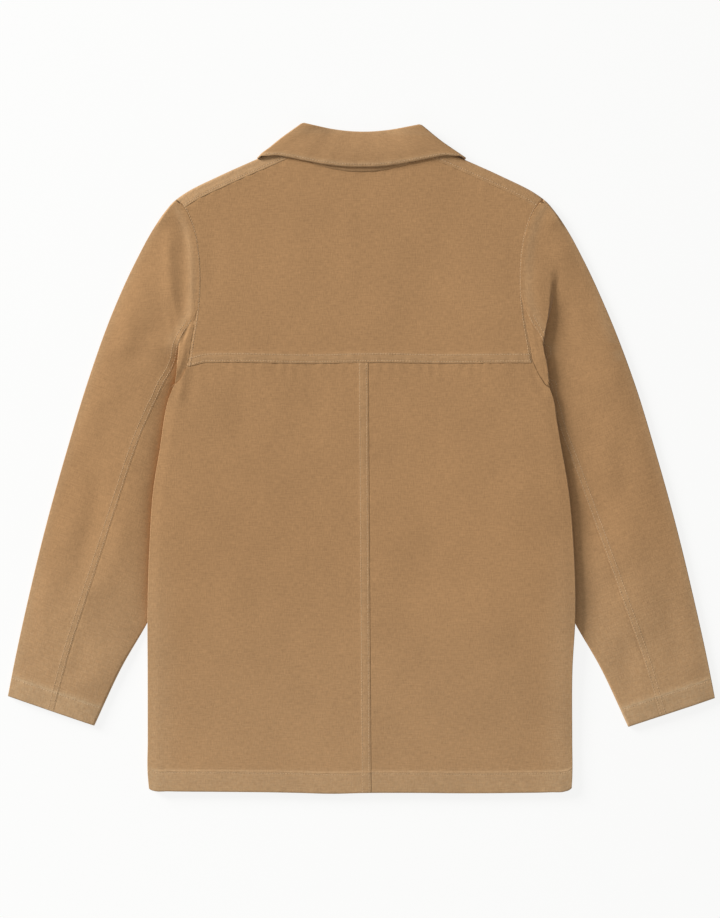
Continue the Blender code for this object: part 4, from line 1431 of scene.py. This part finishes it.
class JACKET_OT_stage(bpy.types.Operator):
    """Add the pale floor, the soft studio light from the upper left, and the camera straight above"""

    bl_idname = "jacket.stage"
    bl_label = "Stage"

    def execute(self, context):
        scene = context.scene
        half, below = 4.0, -0.3 * MM  # the floor's half width, and its height: just clear of the cloth
        corners = [(-half, -half, below), (half, -half, below), (half, half, below), (-half, half, below)]
        board = bpy.data.meshes.new("floor")
        board.from_pydata(corners, [], [(0, 1, 2, 3)])
        board.materials.append(shared("pale floor", pale_floor, colour("floor")))
        floor = bpy.data.objects.new("floor", board)
        scene.collection.objects.link(floor)
        world = bpy.data.worlds.new("soft room")
        world.use_nodes = True
        background = world.node_tree.nodes["Background"]
        background.inputs["Color"].default_value = (1.0, 1.0, 1.0, 1.0)
        background.inputs["Strength"].default_value = 0.28
        scene.world = world
        for name, place, size, power in (
            ("key softbox", (-5.5, 3.5, 2.5), 2.6, 760.0),
            ("top softbox", (0.4, 0.2, 5.0), 3.0, 30.0),
            ("low softbox", (-0.5, -1.9, 1.3), 1.2, 9.0),
        ):
            light = bpy.data.lights.new(name, "AREA")
            light.size = size
            light.energy = power
            lamp = bpy.data.objects.new(name, light)
            lamp.location = place
            lamp.rotation_euler = mathutils.Vector(place).to_track_quat("Z", "Y").to_euler()
            scene.collection.objects.link(lamp)
        view = bpy.data.cameras.new("overhead")
        high, seen = 3.0, 1.0557  # the camera's height, and the width that it sees on the floor
        view.sensor_width = 36.0
        view.lens = view.sensor_width * high / seen
        camera = bpy.data.objects.new("overhead", view)
        camera.location = (0.0, 0.0, high)
        scene.collection.objects.link(camera)
        scene.camera = camera
        scene.view_settings.view_transform = "Standard"
        return {"FINISHED"}


class JACKET_OT_backs(bpy.types.Operator):
    """Make the left and right back, joined by the felled centre seam"""

    bl_idname = "jacket.backs"
    bl_label = "Backs"

    def execute(self, context):
        for side in (-1, 1):
            sew(make_back(side))
        return {"FINISHED"}


class JACKET_OT_yoke(bpy.types.Operator):
    """Make the back yoke, felled over the backs"""

    bl_idname = "jacket.yoke"
    bl_label = "Back yoke"

    def execute(self, context):
        sew(make_yoke())
        return {"FINISHED"}


class JACKET_OT_fronts(bpy.types.Operator):
    """Make the two fronts, which come over the shoulders as strips"""

    bl_idname = "jacket.fronts"
    bl_label = "Fronts"

    def execute(self, context):
        for side in (-1, 1):
            sew(make_front(side))
        return {"FINISHED"}


class JACKET_OT_top_sleeves(bpy.types.Operator):
    """Make the two top sleeves, felled over the under sleeves"""

    bl_idname = "jacket.top_sleeves"
    bl_label = "Top sleeves"

    def execute(self, context):
        for side in (-1, 1):
            sew(make_top_sleeve(side))
        return {"FINISHED"}


class JACKET_OT_under_sleeves(bpy.types.Operator):
    """Make the two under sleeves, which run under the body"""

    bl_idname = "jacket.under_sleeves"
    bl_label = "Under sleeves"

    def execute(self, context):
        for side in (-1, 1):
            sew(make_under_sleeve(side))
        return {"FINISHED"}


class JACKET_OT_collar(bpy.types.Operator):
    """Make the collar's leaf and the stand under it"""

    bl_idname = "jacket.collar"
    bl_label = "Collar"

    def execute(self, context):
        leaf, lines, roll = make_collar()
        sew((leaf, lines))
        make_stand(roll)
        return {"FINISHED"}


class JACKET_OT_buttons(bpy.types.Operator):
    """Make the five buttons, face down under the lapped edge"""

    bl_idname = "jacket.buttons"
    bl_label = "Buttons"

    def execute(self, context):
        make_buttons()
        return {"FINISHED"}


def sew(made):
    """Adds a piece's rows of stitches as one mesh of their own."""
    piece, lines = made
    if lines:
        stitches(piece.name.replace("_canvas", "_stitches"), lines, thread())


class JACKET_PT_build(bpy.types.Panel):
    """The jacket's sizes and colours, and a button for each of its pieces"""

    bl_label = "Canvas jacket"
    bl_idname = "JACKET_PT_build"
    bl_space_type = "VIEW_3D"
    bl_region_type = "UI"
    bl_category = "Jacket"

    def draw(self, context):
        for settings in (context.scene.jacket_sizes, context.scene.jacket_colours):
            box = self.layout.box()
            for name in settings.__annotations__:
                box.prop(settings, name)
        for operator in OPERATORS:
            self.layout.operator(operator.bl_idname)


OPERATORS = (
    JACKET_OT_stage,
    JACKET_OT_backs,
    JACKET_OT_yoke,
    JACKET_OT_fronts,
    JACKET_OT_top_sleeves,
    JACKET_OT_under_sleeves,
    JACKET_OT_collar,
    JACKET_OT_buttons,
)
CLASSES = (JacketSizes, JacketColours, *OPERATORS, JACKET_PT_build)


def register():
    """Adds the classes, and the sizes and colours that belong to each scene."""
    for item in CLASSES:
        bpy.utils.register_class(item)
    bpy.types.Scene.jacket_sizes = bpy.props.PointerProperty(type=JacketSizes)
    bpy.types.Scene.jacket_colours = bpy.props.PointerProperty(type=JacketColours)


def unregister():
    """Takes away what register adds."""
    del bpy.types.Scene.jacket_colours
    del bpy.types.Scene.jacket_sizes
    for item in reversed(CLASSES):
        bpy.utils.unregister_class(item)


def main():
    """Builds the scene."""
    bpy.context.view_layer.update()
    register()
    bpy.ops.jacket.stage()
    bpy.ops.jacket.backs()
    bpy.ops.jacket.yoke()
    bpy.ops.jacket.fronts()
    bpy.ops.jacket.top_sleeves()
    bpy.ops.jacket.under_sleeves()
    bpy.ops.jacket.collar()
    bpy.ops.jacket.buttons()


if __name__ == "__main__":
    main()
